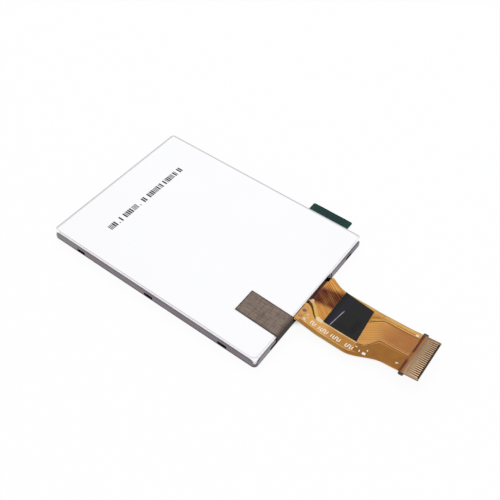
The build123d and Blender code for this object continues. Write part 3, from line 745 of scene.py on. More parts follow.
def laminate(name, deep, bright, share=None):
    """Cover film over base film, copper, adhesive or resin: two tones, in clouds or by a share."""
    material, tree = new_material(name)
    place = node(tree, "ShaderNodeTexCoord").outputs["Object"]
    clouds = node(tree, "ShaderNodeTexNoise", {
        "Vector": place, "Scale": 1000 / film_patch_mm, "Detail": 3.0,
    })
    fine = node(tree, "ShaderNodeTexNoise", {"Vector": place, "Scale": 1000 / film_grain_mm, "Detail": 2.0})
    tint = node(tree, "ShaderNodeMapRange", {"Value": clouds, "From Min": 0.3, "From Max": 0.7})
    if share:
        axes = node(tree, "ShaderNodeSeparateXYZ", {0: place}).outputs
        tint = node(tree, "ShaderNodeMath", {0: tint, 1: cloud_share}, operation="MULTIPLY")
        tint = node(tree, "ShaderNodeMath", {0: tint, 1: share(tree, axes)}, operation="ADD")
        tint = node(tree, "ShaderNodeMath", {
            0: tint, 1: cloud_share / 2,
        }, operation="SUBTRACT", use_clamp=True)
    tone = node(tree, "ShaderNodeMix", {0: tint, 6: linear(deep), 7: linear(bright)}, data_type="RGBA")
    rough = node(tree, "ShaderNodeMapRange", {"Value": fine, "To Min": 0.22, "To Max": 0.38})
    bump = node(tree, "ShaderNodeBump", {"Height": clouds, "Strength": 0.25, "Distance": 0.1 * mm})
    shader = node(tree, "ShaderNodeBsdfPrincipled", {
        "Base Color": tone, "Roughness": rough, "IOR": 1.42, "Specular IOR Level": film_gloss,
        "Normal": bump,
    })
    node(tree, "ShaderNodeOutputMaterial", {"Surface": shader})
    return material


def pale_ends(tree, axes):
    """The film is paler on the lamps' leg and on the tail's upper strip than in between."""
    near_panel = node(tree, "ShaderNodeMath", {
        0: 1.0, 1: onwards(tree, axes, 33.5, 37.5),
    }, operation="SUBTRACT")
    upper = onwards(tree, axes, 4.7, 5.1, "Y")
    return node(tree, "ShaderNodeMath", {0: near_panel, 1: upper}, operation="MAXIMUM")


amber_film = laminate("polyimide_film_cast_and_laminated", "B98034", "DCA55A", pale_ends)
flex_film = thin_sheet("amber_flex", flex_outline, flex_spacing, flex_top, flex_thickness,
                       amber_film)
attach(flex_film, "root")
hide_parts("main_flex")

# Copper in the flex: etched foil under the cover film, seen through it as orange and brown fields.
# On the panel's leg it is a fan so dense that it looks maroon; on the tail it is a wide band,
# with a plain ground field beside it. Strips of bare film, a painted highlight on the crest and
# painted shade in the gap at the panel and in the slit are thin fields and ribbons too.
field_lift = 0.012
field_spacing = 0.3
fine_spacing = 0.13
patch_lift = 0.028
gap_shade_lift = 0.1
slit_shade_drop = 0.2
tip_x = flex_high.x
stiffener_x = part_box("flex_stiffener")[0].x / mm
tape_left_x = 33.6
leg_field = (
    (27.9, 6.9), (27.9, -0.9), (29.0, -1.1), (30.5, -1.75), (31.7, -2.85), (32.5, -3.6),
    (33.9, -3.6), (33.9, 5.4), (32.3, 5.6), (30.8, 6.15), (29.4, 6.65),
)
# Painted shade: a dark strip along the panel's edge and up into the bezel's notch, where the gap is in
# shade.
gap_shade_outline = (
    (27.8, 7.05), (28.25, 7.66), (28.68, 7.66), (28.9, 6.95), (29.0, 6.0), (28.95, 5.0),
    (28.82, 4.1), (28.76, -1.2), (28.3, -1.2), (28.3, 5.0), (27.8, 5.2),
)
# Painted highlight: a pale beige patch where the crest of the panel's leg catches the light.
crest_highlight_outline = ((28.75, -0.7), (29.45, -0.85), (29.75, -1.6), (29.2, -1.85), (28.7, -1.6))
fan_field = (
    (41.0, 1.6), (41.5, -3.6), (43.3, -3.4), (45.35, -0.4), (52.0, -0.4), (52.1, 4.25),
    (44.1, 4.2), (41.8, 2.1),
)
ground_field = (
    (41.8, -3.95), (43.4, -3.75), (45.7, -1.1), (52.0, -0.85), (51.9, -4.7), (49.0, -4.7),
    (46.6, -5.2), (44.6, -5.7), (42.0, -5.9),
)
# Painted shade: a dark film sunk under the slit, so that the slit reads as shaded, not open.
slit_shade_outline = (
    (28.75, -1.45), (29.35, -1.75), (30.3, -2.5), (31.4, -3.6), (32.15, -4.2), (32.0, -4.65),
    (31.1, -4.1), (30.0, -3.1), (29.25, -2.6), (28.7, -2.5),
)
pale_pad = ((31.8, -4.05), (32.35, -3.5), (33.65, -3.75), (33.6, -4.45), (32.5, -4.6))
yellow_offset = 0.4
yellow_width = 0.62
edge_offset = 0.42
edge_width = 0.75
margin_width = 0.16
margin_inset = 0.02
fields_start_x = bezel_edge + 0.3


def along(points, step=0.3):
    """Points at small steps along straight runs between a few chosen ones, in plan."""
    points = [Vector(p) for p in points]
    route = [points[0]]
    for a, b in zip(points, points[1:]):
        steps = max(1, round((b - a).length / step))
        route += [a.lerp(b, n / steps) for n in range(1, steps + 1)]
    return route


def shifted(route, offset):
    """A route moved sideways, to its left, by an offset."""
    moved = []
    for n, point in enumerate(route):
        ahead = route[min(n + 1, len(route) - 1)] - route[max(n - 1, 0)]
        moved.append(point + Vector((-ahead.y, ahead.x)).normalized() * offset)
    return moved


def ribbons(name, strips, lift, material):
    """Thin strips on the flex, each a route in plan and a width, that stand proud by a lift."""
    builder = bmesh.new()
    for route, width in strips:
        left, right = shifted(route, width / 2), shifted(route, -width / 2)
        rows = []
        for a, b in zip(left, right):
            corners = ((a, lift), (b, lift), (b, -lift), (a, -lift))
            rows.append([
                builder.verts.new((p.x * mm, p.y * mm, (flex_top(p.x, p.y) + rise) * mm))
                for p, rise in corners
            ])
        for a, b in zip(rows, rows[1:]):
            for n in range(4):
                m = (n + 1) % 4
                builder.faces.new((a[n], b[n], b[m], a[m]))
        builder.faces.new(rows[0])
        builder.faces.new(rows[-1])
    bmesh.ops.recalc_face_normals(builder, faces=builder.faces)
    return mesh_object(name, builder, material)


def field(name, corners, material, lift=field_lift, spacing=field_spacing):
    """A thin field of copper, film or resin on the flex, cut to its corners in plan."""
    made = thin_sheet(name, [Vector(p) for p in corners], spacing,
                      lambda x, y: flex_top(x, y) + lift, 2 * field_lift, material)
    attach(made, "root")
    return made


def maroon_band(tree, axes):
    """Share of maroon on the panel's leg: a band from the panel, weaker towards the tape; painted shade at
    its edge.
    """
    weaker = node(tree, "ShaderNodeMath", {
        0: onwards(tree, axes, 30.2, 31.8), 1: -0.08, 2: 1.0,
    }, operation="MULTIPLY_ADD")
    steep = near_line(tree, axes, slope=0.5, offset=-13.2, inner=0.7, outer=2.7)
    flat = near_line(tree, axes, slope=0.3, offset=-7.9, inner=1.3, outer=2.8)
    band = node(tree, "ShaderNodeMath", {0: steep, 1: flat}, operation="MAXIMUM")
    band = node(tree, "ShaderNodeMath", {0: band, 1: weaker}, operation="MULTIPLY")
    # Painted shade along the panel's edge.
    off_edge = onwards(tree, axes, 28.75, 29.15)
    shade = node(tree, "ShaderNodeMath", {0: 1.0, 1: off_edge}, operation="SUBTRACT")
    return node(tree, "ShaderNodeMath", {0: band, 1: shade}, operation="MAXIMUM")


def along_tail(tree, axes):
    """The copper band darkens from the tape to the middle of the tail."""
    return onwards(tree, axes, 41.8, 49.0)


leg_copper = laminate("copper_fan_etched_under_film", "D8974A", "4E1C14", maroon_band)
fan_copper = laminate("copper_band_etched_under_film", "D8A050", "B0713A", along_tail)
ground_copper = laminate("copper_field_etched_under_film", "945C1A", "9F6A24")
edge_copper = laminate("copper_strip_etched_under_film", "A67839", "98611F",
                       lambda tree, axes: onwards(tree, axes, 38.5, 42.0))
yellow_film = laminate("polyimide_film_bare_single", "CDA453", "E0BF6C")
# Pale film for the pale pad, and for a painted glint beside the black tape.
pale_film_and_glint = laminate("polyimide_film_pale_and_painted_glint", "D9BC86", "EEDCB2")
# Painted shade in the gap at the panel's edge, darkest towards the notch.
painted_gap_dark = laminate("painted_gap_shade", "3A1710", "0C0B0E",
                      lambda tree, axes: onwards(tree, axes, 4.3, 5.4, "Y"))
painted_highlight_film = laminate("polyimide_film_painted_highlight", "C98F5C", "E3BE94")
stained_film = laminate("polyimide_film_stained_at_edge", "A98855", "C49B60")
shadow_film = laminate("polyimide_film_painted_shade", "4A3015", "75511F")
margin_film = laminate("polyimide_film_slit_edge", "A38A4E", "CDB36C")
field("leg_copper_field", leg_field, leg_copper, spacing=fine_spacing)
field("tail_copper_field", fan_field, fan_copper)
field("ground_copper_field", ground_field, ground_copper)
field("pale_film_patch", pale_pad, pale_film_and_glint, patch_lift)
field("painted_gap_shade_strip", gap_shade_outline, painted_gap_dark, gap_shade_lift, fine_spacing)
field("crest_painted_highlight_patch", crest_highlight_outline, painted_highlight_film, patch_lift)
field("slit_painted_shade_film", slit_shade_outline, shadow_film, -slit_shade_drop)
slit_route = [Vector(p) for p in smooth_route(slit_panel_side)]
edge_route = along([(fields_start_x, flex_low.y), (neck_start_x, flex_low.y)])
edge_route += list(reversed(neck_outline))[1:15]
upper_edge = along(list(reversed(flare_outline)))
upper_edge = [p for p in upper_edge if p.x > fields_start_x]
upper_edge += along([(flare_end_x + 0.3, tail_top_y), (51.7, tail_top_y)])
for name, route, offset, width, material in (
    ("bare_film_strip", slit_route[5:], yellow_offset, yellow_width, yellow_film),
    # Painted shade: a dark strip beside the slit.
    ("slit_painted_shade_strip", slit_route[2:-1], 0.07, 0.16, shadow_film),
    ("edge_copper_strip", edge_route, edge_offset, edge_width, edge_copper),
    ("bare_film_margin", upper_edge, -margin_width / 2 - margin_inset, margin_width, margin_film),
    ("lower_film_margin", edge_route, 0.06, 0.1, margin_film),
    # Painted glint along the black tape's lower edge.
    ("tape_edge_painted_glint", along([(32.3, -4.5), (34.2, -3.95), (41.9, -3.95)]), 0, 0.17, pale_film_and_glint),
    ("upper_stained_margin", along([(40.7, 5.36), (43.5, 5.36)]), 0, 0.3, stained_film),
):
    strip = ribbons(name, [(shifted(route, offset), width)], field_lift, material)
    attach(strip, "root")

# Conductors: fine copper lines in the fields, etched at a pitch of a quarter millimetre, and a few
# dark ones along the borders, where the film steps over the copper's edge; bright ones there are painted
# highlights.
line_lift = 0.02
tail_line_count = 10
tail_line_width = 0.22
leg_line_count = 17
leg_line_width = (0.09, 0.26)
fine_step = 0.12
spread_step = 0.618
thinning = 0.65
crowding = 0.62
tail_starts = (Vector((41.2, 1.35)), Vector((41.8, -3.05)))
tail_bends = (Vector((44.2, 3.95)), Vector((45.3, -0.15)))
leg_starts_x, leg_starts_y, leg_starts_reach = 28.0, 6.6, 7.4
leg_ends_x, leg_ends_y, leg_ends_reach = tape_left_x + 0.2, 5.05, 8.7
tail_lines = []
for number in range(tail_line_count):
    share = number / (tail_line_count - 1)
    start, bend = (first.lerp(last, share) for first, last in (tail_starts, tail_bends))
    points = [start, start.lerp(bend, 0.6), bend + Vector((0.6, 0)), (49, bend.y),
              (stiffener_x + 0.1, bend.y)]
    tail_lines.append((smooth_route(points, 10), tail_line_width))
dark_leg_lines, bright_leg_lines = [], []
for number in range(2 * leg_line_count):
    share = number / (2 * leg_line_count - 1)
    spread = number * spread_step % 1
    start = Vector((leg_starts_x, leg_starts_y - leg_starts_reach * share + 0.1 * spread))
    end = Vector((leg_ends_x, leg_ends_y - leg_ends_reach * share**crowding))
    middle = start.lerp(end, 0.45) + Vector((0, 0.4 * share))
    route = along(smooth_route([start, middle, end], 9), fine_step)
    narrow, wide = leg_line_width
    width = (narrow + (wide - narrow) * spread) * (1 - thinning * ease(share, 0.55, 0.8))
    (bright_leg_lines if number % 2 else dark_leg_lines).append((route, width))
border_lines = [
    (smooth_route([(41.5, 2.3), (42.6, 3.2), (44.05, 4.25), (47, 4.3), (52.0, 4.3)], 10), 0.16),
    (smooth_route([(41.2, 3.35), (43.7, 4.8), (51.5, 4.88)], 14), 0.07),
    (smooth_route([(45.4, -0.72), (48, -0.72), (51.9, -0.72)], 10), 0.14),
    (smooth_route([(42.4, -3.95), (44.0, -2.85), (45.4, -0.72)], 8), 0.12),
]
# Painted highlights: bright lines where the film's step over the copper catches the light.
glint_lines = [
    (smooth_route([(41.45, 2.95), (42.6, 3.7), (43.95, 4.5), (47, 4.58), (51.9, 4.62)], 10), 0.17),
    (smooth_route([(41.7, 2.05), (42.8, 3.1), (44.0, 4.02)], 8), 0.12),
    (smooth_route([(41.2, 4.45), (46, 4.95), (51.0, 5.0)], 10), 0.09),
    (shifted(edge_route[2:-11], edge_offset + 0.46), 0.14),
]
# Painted highlights: rosy bright lines along the lower border of the copper band.
rosy_glint_lines = [
    (smooth_route([(41.9, -3.55), (43.5, -3.25), (45.3, -0.52), (48, -0.48), (51.9, -0.5)], 8),
     0.16),
    (smooth_route([(43.1, -2.9), (45.2, -0.12), (48, -0.08), (51.9, -0.1)], 8), 0.1),
]
dark_leg_copper = laminate("copper_lines_etched_dark", "A4622B", "3C130D", maroon_band)
bright_leg_copper = laminate("copper_lines_etched_golden", "E8AE5C", "7E4028", maroon_band)
tail_line_copper = laminate("copper_lines_etched_brown", "C88C46", "A66A34", along_tail)
border_copper = laminate("copper_edge_stepped_dark", "70441A", "855722")
painted_glint_copper = laminate("copper_edge_painted_glint", "D6A452", "E6C07C")
painted_rosy_glint = laminate("copper_edge_painted_rosy_glint", "C58A50", "D6A068")
for name, strips, material in (
    ("tail_conductors", tail_lines, tail_line_copper),
    ("dark_leg_conductors", dark_leg_lines, dark_leg_copper),
    ("bright_leg_conductors", bright_leg_lines, bright_leg_copper),
    ("border_conductors", border_lines, border_copper),
    ("bright_border_painted_glints", glint_lines, painted_glint_copper),
    ("lower_border_painted_glints", rosy_glint_lines, painted_rosy_glint),
):
    made = ribbons(name, strips, line_lift, material)
    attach(made, "root")
    if strips is tail_lines:
        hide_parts("flex_traces")

# Tail end: the stiffener shows through as a dark line, a brown band of adhesive follows, and then
# the bare contacts, plated with gold over nickel and worn to a dull tan.
contact_count = 20
contact_pitch = 0.5
contact_width = 0.25
contact_start_x = 53.12
contact_end_x = tip_x - 0.26
tail_centre_y = 0.45
band_ends = ((51.95, 5.76), (53.1, 5.76), (52.85, -4.86), (51.7, -4.86))
gap_ends = ((53.2, 5.3), (tip_x - 0.02, 5.3), (tip_x - 0.02, -4.4), (53.2, -4.4))
gap_lift = 0.022
contact_lift = 0.036
contact_ends = ((53.1, 5.76), (tip_x - 0.05, 5.76), (tip_x - 0.05, -4.86), (52.85, -4.86))


def stiffener_line(tree, axes):
    """Share of the dark line over the stiffener's edge; the copper band half hides it."""
    line = near_line(tree, axes, slope=0.0264, offset=52.13, inner=0.1, outer=0.55, across="X")
    hidden = near_line(tree, axes, slope=0.0, offset=-0.35, inner=0.5, outer=1.6)
    seen = node(tree, "ShaderNodeMath", {0: hidden, 1: -0.62, 2: 1.0}, operation="MULTIPLY_ADD")
    return node(tree, "ShaderNodeMath", {0: line, 1: seen}, operation="MULTIPLY")


band_brown = laminate("adhesive_band_cured_brown", "A06C3C", "562617", stiffener_line)
contact_base = laminate("polyimide_film_under_contacts", "AC9072", "84694F",
                        lambda tree, axes: onwards(tree, axes, -3.5, 3.5, "Y"))
contact_gap = laminate("polyimide_film_between_contacts", "9A7F62", "1E1713",
                       lambda tree, axes: onwards(tree, axes, 53.7, 55.1))
field("adhesive_band", band_ends, band_brown)
field("contact_base_film", contact_ends, contact_base)
field("contact_gap_film", gap_ends, contact_gap, gap_lift)
wear_mm = 0.08
wear_stretch = 0.1
dull_gold, tree = new_material("gold_plate_over_nickel_worn")
place = node(tree, "ShaderNodeTexCoord").outputs["Object"]
axes = node(tree, "ShaderNodeSeparateXYZ", {0: place}).outputs
stretched = node(tree, "ShaderNodeMapping", {"Vector": place, "Scale": (wear_stretch, 1, 1)})
scratches = node(tree, "ShaderNodeTexNoise", {"Vector": stretched, "Scale": 1000 / wear_mm, "Detail": 3.0})
tone = node(tree, "ShaderNodeMix", {
    0: onwards(tree, axes, 53.2, 55.0), 6: linear("8C7154"), 7: linear("BE9C78"),
}, data_type="RGBA")
worn = node(tree, "ShaderNodeMapRange", {"Value": scratches, "To Max": 0.4})
tone = node(tree, "ShaderNodeMix", {0: worn, 6: tone, 7: linear("7C644C")}, data_type="RGBA")
rubbed = node(tree, "ShaderNodeMapRange", {
    "Value": onwards(tree, axes, -4.5, 2.5, "Y"), "To Min": 1.3, "To Max": 0.97,
})
tone = node(tree, "ShaderNodeVectorMath", {0: tone, 1: rubbed}, operation="MULTIPLY")
rough = node(tree, "ShaderNodeMapRange", {"Value": scratches, "To Min": 0.35, "To Max": 0.55})
shader = node(tree, "ShaderNodeBsdfPrincipled", {"Base Color": tone, "Metallic": 0.6, "Roughness": rough})
node(tree, "ShaderNodeOutputMaterial", {"Surface": shader})
contact_lines = []
for number in range(contact_count):
    y = tail_centre_y + (number - (contact_count - 1) / 2) * contact_pitch
    contact_lines.append((along([(contact_start_x, y), (contact_end_x, y)]), contact_width))
contacts = ribbons("plated_contacts", contact_lines, contact_lift, dull_gold)
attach(contacts, "root")
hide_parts("contact_fingers")

glass_fibre_mm = 0.12
board_black, tree = new_material("glass_epoxy_stiffener_pressed_black")
place = node(tree, "ShaderNodeTexCoord").outputs["Object"]
grain = node(tree, "ShaderNodeTexNoise", {"Vector": place, "Scale": 1000 / glass_fibre_mm, "Detail": 3.0})
tone = node(tree, "ShaderNodeMix", {0: grain, 6: linear("121214"), 7: linear("262427")}, data_type="RGBA")
bump = node(tree, "ShaderNodeBump", {"Height": grain, "Strength": 0.3, "Distance": 0.02 * mm})
shader = node(tree, "ShaderNodeBsdfPrincipled", {"Base Color": tone, "Roughness": 0.5, "Normal": bump})
node(tree, "ShaderNodeOutputMaterial", {"Surface": shader})
nodes["flex_stiffener"].data.materials[0] = board_black

# Lamps' flex: a narrow amber strip above the lamps, with a tongue that comes out over the
# backlight's leg. It is soldered there with two flat, greyish joints beside bare tinned pads.
lamp_low, lamp_high = (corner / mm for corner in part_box("led_flex"))
lamp_strip_end_x = lamp_low.x + 1.9
lamp_spacing = 0.4
tongue_low_y = -7.2
tongue_high_y = -3.1
lamp_corners = [
    (lamp_low.x, lamp_low.y), (lamp_strip_end_x, lamp_low.y), (lamp_strip_end_x, tongue_low_y),
    (lamp_high.x, tongue_low_y), (lamp_high.x, tongue_high_y), (lamp_strip_end_x, tongue_high_y),
    (lamp_strip_end_x, lamp_high.y), (lamp_low.x, lamp_high.y),
]
lamp_corner_radii = [0.2, 0.2, 0, 0.3, 0.3, 0, 0.2, 0.2]


def shaded_strip_lit_tongue(tree, axes):
    """The strip is in deep shade under the panel's edge; only its tongue is lit."""
    outside = onwards(tree, axes, 28.25, 28.55)
    tongue = onwards(tree, axes, tongue_high_y + 0.5, tongue_high_y - 0.1, "Y")
    return node(tree, "ShaderNodeMath", {0: outside, 1: tongue}, operation="MULTIPLY")


lamp_film = laminate("polyimide_film_of_lamp_strip", "2E1B10", "D59C54", shaded_strip_lit_tongue)
lamp_outline = round_corners(lamp_corners, lamp_corner_radii)
lamp_strip = thin_sheet("lamp_flex_strip", lamp_outline, lamp_spacing, lambda x, y: lamp_high.z,
                        lamp_high.z - lamp_low.z, lamp_film)
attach(lamp_strip, "root")
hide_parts("led_flex")

solder_grain_mm = 0.25
dull_solder, tree = new_material("tin_solder_reflowed_dull")
place = node(tree, "ShaderNodeTexCoord").outputs["Object"]
grain = node(tree, "ShaderNodeTexNoise", {"Vector": place, "Scale": 1000 / solder_grain_mm, "Detail": 3.0})
axes = node(tree, "ShaderNodeSeparateXYZ", {0: place}).outputs
tone = node(tree, "ShaderNodeMix", {
    0: onwards(tree, axes, -5.5, -4.8, "Y"), 6: linear("C9957A"), 7: linear("4E3B36"),
}, data_type="RGBA")
tone = node(tree, "ShaderNodeMix", {0: grain, 6: tone, 7: linear("9A8078")}, data_type="RGBA")
shader = node(tree, "ShaderNodeBsdfPrincipled", {"Base Color": tone, "Metallic": 0.3, "Roughness": 0.5})
node(tree, "ShaderNodeOutputMaterial", {"Surface": shader})
nodes["solder_joints"].data.materials[0] = dull_solder
tinned = mottled("tin_plate_bare_bright", "C9B9AE", "F3EAE4", grain_mm=0.3, detail=3.0,
                 looks={"Metallic": 0.3, "Roughness": 0.4})
pads = ribbons("tinned_pads", [
    ([Vector((29.95, -6.1)), Vector((30.5, -5.95))], 0.55),
    ([Vector((30.55, -6.45)), Vector((30.8, -6.35))], 0.3),
    ([Vector((30.15, -4.8)), Vector((30.55, -4.7))], 0.28),
    ([Vector((30.5, -5.35)), Vector((30.75, -5.3))], 0.2),
], line_lift, tinned)
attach(pads, "root")

# Print on the flex: a row of plain white ticks along its lower edge and a few single marks,
# screened in white ink, which lies on the cover film as a thin, matt layer. They say nothing.
tick_lift = 0.024
legend_start = 31.7
legend_end = 42.3
legend_pitch = 0.5
legend_y = -5.62
legend_height = 0.8
tick_width = 0.21
tick_lean = 0.12
tick_foot = 0.35
gaps = (3, 9, 15, 16)
white_ink = mottled("white_ink_screen_printed", "E6DAC4", "FBF5EA", grain_mm=0.15, detail=2.0,
                    looks={"Roughness": 0.6})
ticks = []
for number in range(round((legend_end - legend_start) / legend_pitch)):
    x = legend_start + number * legend_pitch
    if number in gaps:
        continue
    low = Vector((x, legend_y - legend_height / 2))
    high = Vector((x + tick_lean, legend_y + legend_height / 2))
    ticks.append((along([low, high], 0.4), tick_width))
    if number % 2:
        ticks.append(([low, low + Vector((tick_foot, 0))], tick_width))
    if number % 3 == 0:
        ticks.append(([high, high + Vector((tick_foot, 0))], tick_width))
for x, y, length, width in (
    (44.5, -4.3, 0.2, 0.42), (43.95, -5.35, 0.72, 0.6), (43.1, -5.3, 0.25, 0.45),
    (50.5, -3.4, 0.62, 0.16), (50.6, -3.6, 0.16, 0.26), (50.8, 4.85, 0.66, 0.36),
    (42.0, -4.75, 0.5, 0.2),
):
    ticks.append(([Vector((x, y)), Vector((x + length, y + 0.05))], width))
legend = ribbons("white_legend_ticks", ticks, tick_lift, white_ink)
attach(legend, "root")

# Black tape: matt acetate cloth tape over four chip capacitors, laid by hand and pressed down.
# It bridges the chips in one low rise, with one crease, whose pale streak is partly its own whitened fold
# and partly a painted highlight; a painted bluish sheen lies beside it.
tape_corners = ((33.6, 5.75), (33.6, -3.75), (41.65, -3.72), (40.9, 5.02))
tape_spacing = 0.14
tape_thickness = 0.06
tape_gap = 0.03
chip_rise = 0.19
chip_slope = 1.7
crease_slope = 6.76
crease_offset = -241.0
crease_ends = (-3.6, 1.3)
crease_rise = 0.05
crease_width = 0.13
sheen_away = 4.5
chips = [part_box(name) for name in sorted(nodes) if name.startswith("capacitor_")]
chips_low = Vector([min(low[n] for low, high in chips) / mm for n in range(2)])
chips_high = Vector([max(high[n] for low, high in chips) / mm for n in range(2)])


def tape_top(x, y):
    """The tape follows the flex and bridges the chips in one low rise, with one crease."""
    beside = Vector((max(chips_low.x - x, 0, x - chips_high.x),
                     max(chips_low.y - y, 0, y - chips_high.y)))
    rise = chip_rise * (1 - ease(beside.length, 0, chip_slope))
    away = abs(x - (y - crease_offset) / crease_slope)
    low, high = crease_ends
    within = ease(y, low - 0.3, low + 0.3) * (1 - ease(y, high - 0.6, high + 0.3))
    crease = crease_rise * within * math.exp(-(away / crease_width) ** 2)
    return flex_top(x, y) + tape_gap + tape_thickness + rise + crease


cloth_grain_mm = 0.1
broken_mm = 0.35
cloth_tape, tree = new_material("acetate_tape_coated_black")
place = node(tree, "ShaderNodeTexCoord").outputs["Object"]
axes = node(tree, "ShaderNodeSeparateXYZ", {0: place}).outputs
grain = node(tree, "ShaderNodeTexNoise", {"Vector": place, "Scale": 1000 / cloth_grain_mm, "Detail": 3.0})
broken = node(tree, "ShaderNodeTexNoise", {"Vector": place, "Scale": 1000 / broken_mm, "Detail": 3.0})
crease_low, crease_high = crease_ends
after = node(tree, "ShaderNodeMapRange", {
    "Value": axes["Y"], "From Min": (crease_low - 0.4) * mm, "From Max": (crease_low + 0.2) * mm,
})
before = node(tree, "ShaderNodeMapRange", {
    "Value": axes["Y"], "From Min": (crease_high + 0.1) * mm, "From Max": (crease_high - 0.7) * mm,
})
patchy = node(tree, "ShaderNodeMapRange", {
    "Value": broken, "From Min": 0.35, "From Max": 0.55, "To Min": 0.35,
})
# Painted highlight: a pale streak along the crease, broken up in patches.
painted_crease_streak = near_line(tree, axes, crease_slope, crease_offset, 0.2, 0.9)
for share in (after, before, patchy):
    painted_crease_streak = node(tree, "ShaderNodeMath", {0: painted_crease_streak, 1: share}, operation="MULTIPLY")
black = node(tree, "ShaderNodeMix", {0: grain, 6: linear("0F0F10"), 7: linear("19191A")}, data_type="RGBA")
# Painted sheen: a bluish band beside the crease.
sheen = near_line(tree, axes, crease_slope, crease_offset + sheen_away, 1.5, 8.0)
painted_blue_sheen = node(tree, "ShaderNodeMath", {0: sheen, 1: 0.5}, operation="MULTIPLY")
black = node(tree, "ShaderNodeMix", {0: painted_blue_sheen, 6: black, 7: linear("151326")}, data_type="RGBA")
tone = node(tree, "ShaderNodeMix", {0: painted_crease_streak, 6: black, 7: linear("B3AEC0")}, data_type="RGBA")
rough = node(tree, "ShaderNodeMapRange", {"Value": grain, "To Min": 0.42, "To Max": 0.6})
bump = node(tree, "ShaderNodeBump", {"Height": grain, "Strength": 0.3, "Distance": 0.02 * mm})
shader = node(tree, "ShaderNodeBsdfPrincipled", {
    "Base Color": tone, "Roughness": rough, "IOR": 1.35, "Specular IOR Level": 0.35, "Normal": bump,
})
node(tree, "ShaderNodeOutputMaterial", {"Surface": shader})
tape = thin_sheet("black_chip_tape", [Vector(p) for p in tape_corners], tape_spacing, tape_top,
                  tape_thickness, cloth_tape)
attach(tape, "root")
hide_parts("insulating_tape")

chip_ceramic = mottled("ceramic_chip_sintered_tin_ended", "6E5238", "8C6C4C", grain_mm=0.1,
                       detail=2.0, looks={"Roughness": 0.45})
for name in nodes:
    if name.startswith("capacitor_"):
        nodes[name].data.materials[0] = chip_ceramic

# Grounding tape: nickel-plated polyester cloth, woven plain, stuck from the back over the edge
# and down the wall. Its threads stand out, and its knife-cut sides are a little uneven.
weave_low, weave_high = (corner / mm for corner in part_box("grounding_tape"))
weave_thickness = 0.12
weave_skew = 0.3
thread_pitch = 0.3
thread_rise = 0.022
thread_stretch = 0.12
weave_step = 0.075
fold_radius = 0.11
hanging_end = 0.8
fray = 0.035
slow_fray, fast_fray = 9.1, 23.7
cloth_dirt_mm = 1.6
plating_grain_mm = 0.12
fold_x = weave_high.x - fold_radius
fold_z = weave_high.z - fold_radius
flat_length = fold_x - weave_low.x
fold_length = fold_radius * math.pi / 2
under_depth = min(weave_thickness, fold_radius - 0.005)
side_length = fold_z - max(weave_low.z, hanging_end)
strip_length = flat_length + fold_length + side_length
strip_width = weave_high.y - weave_low.y - weave_skew


def strip_place(s):
    """Point and outward direction, in the XZ plane, at a distance s along the tape's face."""
    if s < flat_length:
        return Vector((weave_low.x + s, weave_high.z)), Vector((0, 1))
    turn = min((s - flat_length) / fold_radius, math.pi / 2)
    out = Vector((math.sin(turn), math.cos(turn)))
    point = Vector((fold_x, fold_z)) + out * fold_radius
    return point - Vector((0, max(0, s - flat_length - fold_length))), out


builder = bmesh.new()
stations = round(strip_length / weave_step)
tracks = round(strip_width / weave_step)
upper, lower = [], []
for i in range(stations + 1):
    s = strip_length * i / stations
    point, out = strip_place(s)
    skew = weave_skew * (1 - min(s, flat_length) / flat_length)
    top_row, low_row = [], []
    for j in range(tracks + 1):
        y = weave_low.y + skew + strip_width * j / tracks
        if j in (0, tracks):
            outward = 1 if j else -1
            wander = math.sin(s * slow_fray + j) * math.sin(s * fast_fray + 2 * j)
            y += outward * fray * (wander - 1)
        over = math.sin(math.pi * s / thread_pitch) * math.sin(math.pi * y / thread_pitch)
        face = point + out * thread_rise * (over - 1) / 2
        under = point - out * under_depth
        top_row.append(builder.verts.new((face.x * mm, y * mm, face.y * mm)))
        low_row.append(builder.verts.new((under.x * mm, y * mm, under.y * mm)))
    upper.append(top_row)
    lower.append(low_row)
for i in range(stations):
    for j in range(tracks):
        builder.faces.new((upper[i][j], upper[i + 1][j], upper[i + 1][j + 1], upper[i][j + 1]))
        builder.faces.new((lower[i][j], lower[i][j + 1], lower[i + 1][j + 1], lower[i + 1][j]))
    for j in (0, tracks):
        builder.faces.new((upper[i][j], lower[i][j], lower[i + 1][j], upper[i + 1][j]))
for j in range(tracks):
    for i in (0, stations):
        builder.faces.new((upper[i][j], upper[i][j + 1], lower[i][j + 1], lower[i][j]))
bmesh.ops.recalc_face_normals(builder, faces=builder.faces)
for face in builder.faces:
    face.smooth = True

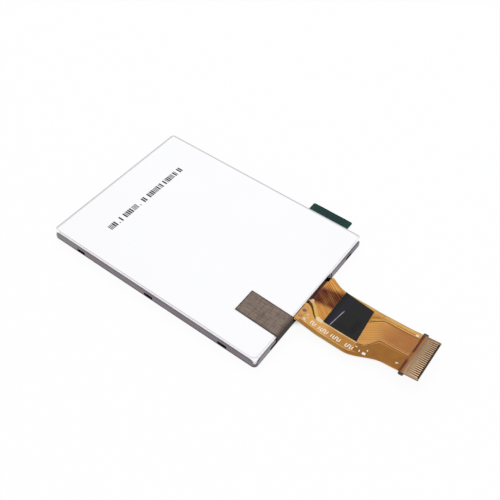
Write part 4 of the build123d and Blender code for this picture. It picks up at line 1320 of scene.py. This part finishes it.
plated_cloth, tree = new_material("plated_cloth_woven")
place = node(tree, "ShaderNodeTexCoord").outputs["Object"]
axes = node(tree, "ShaderNodeSeparateXYZ", {0: place}).outputs
grain = node(tree, "ShaderNodeTexNoise", {"Vector": place, "Scale": 1000 / plating_grain_mm, "Detail": 3.0})
slow = node(tree, "ShaderNodeTexNoise", {"Vector": place, "Scale": 1000 / cloth_dirt_mm, "Detail": 3.0})
tone = node(tree, "ShaderNodeMix", {0: grain, 6: linear("564940"), 7: linear("948479")}, data_type="RGBA")
worn = node(tree, "ShaderNodeMapRange", {"Value": slow, "From Min": 0.3, "From Max": 0.7, "To Max": 0.35})
tone = node(tree, "ShaderNodeMix", {0: worn, 6: tone, 7: linear("93857B")}, data_type="RGBA")
for scale in ((thread_stretch, 1, 1), (1, thread_stretch, 1)):
    thread = node(tree, "ShaderNodeMapping", {"Vector": place, "Scale": scale})
    thread = node(tree, "ShaderNodeTexNoise", {
        "Vector": thread, "Scale": 1000 / thread_pitch, "Detail": 1.0,
    })
    thread = node(tree, "ShaderNodeMapRange", {
        "Value": thread, "From Min": 0.5, "From Max": 0.68, "To Max": 0.4,
    })
    tone = node(tree, "ShaderNodeMix", {0: thread, 6: tone, 7: linear("4F433B")}, data_type="RGBA")
side_slope = -weave_skew / flat_length
near_side_at = weave_low.y + weave_skew - side_slope * weave_low.x
cut_sides = [
    near_line(tree, axes, side_slope, near_side_at, inner=0.12, outer=0.34),
    near_line(tree, axes, side_slope, near_side_at + strip_width, inner=0.12, outer=0.34),
    near_line(tree, axes, slope=0.0, offset=weave_low.x, inner=0.1, outer=0.3, across="X"),
]
for cut_side in cut_sides:
    darker = node(tree, "ShaderNodeMath", {0: cut_side, 1: 0.85}, operation="MULTIPLY")
    tone = node(tree, "ShaderNodeMix", {0: darker, 6: tone, 7: linear("2F2723")}, data_type="RGBA")
# Painted shade: the cloth darkens over the fold and down the wall, and there it is also less metallic.
fold_painted_shade = node(tree, "ShaderNodeMapRange", {
    "Value": axes["X"], "From Min": (fold_x - 0.8) * mm, "From Max": (fold_x + 0.03) * mm, "To Max": 0.7,
})
side_painted_shade = node(tree, "ShaderNodeMapRange", {
    "Value": axes["Z"], "From Min": (weave_high.z - 0.05) * mm, "From Max": (weave_high.z - 0.4) * mm,
    "To Max": 0.8,
})
for share, colour in ((fold_painted_shade, "3E332C"), (side_painted_shade, "2A1F1A")):
    tone = node(tree, "ShaderNodeMix", {0: share, 6: tone, 7: linear(colour)}, data_type="RGBA")
metal_share = node(tree, "ShaderNodeMapRange", {
    "Value": side_painted_shade, "From Max": 0.5, "To Min": 0.35, "To Max": 0.0,
})
shader = node(tree, "ShaderNodeBsdfPrincipled", {
    "Base Color": tone, "Metallic": metal_share, "Roughness": 0.5, "Specular IOR Level": 0.04,
})
node(tree, "ShaderNodeOutputMaterial", {"Surface": shader})
woven_tape = mesh_object("woven_ground_tape", builder, plated_cloth)
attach(woven_tape, "root")
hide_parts("grounding_tape")
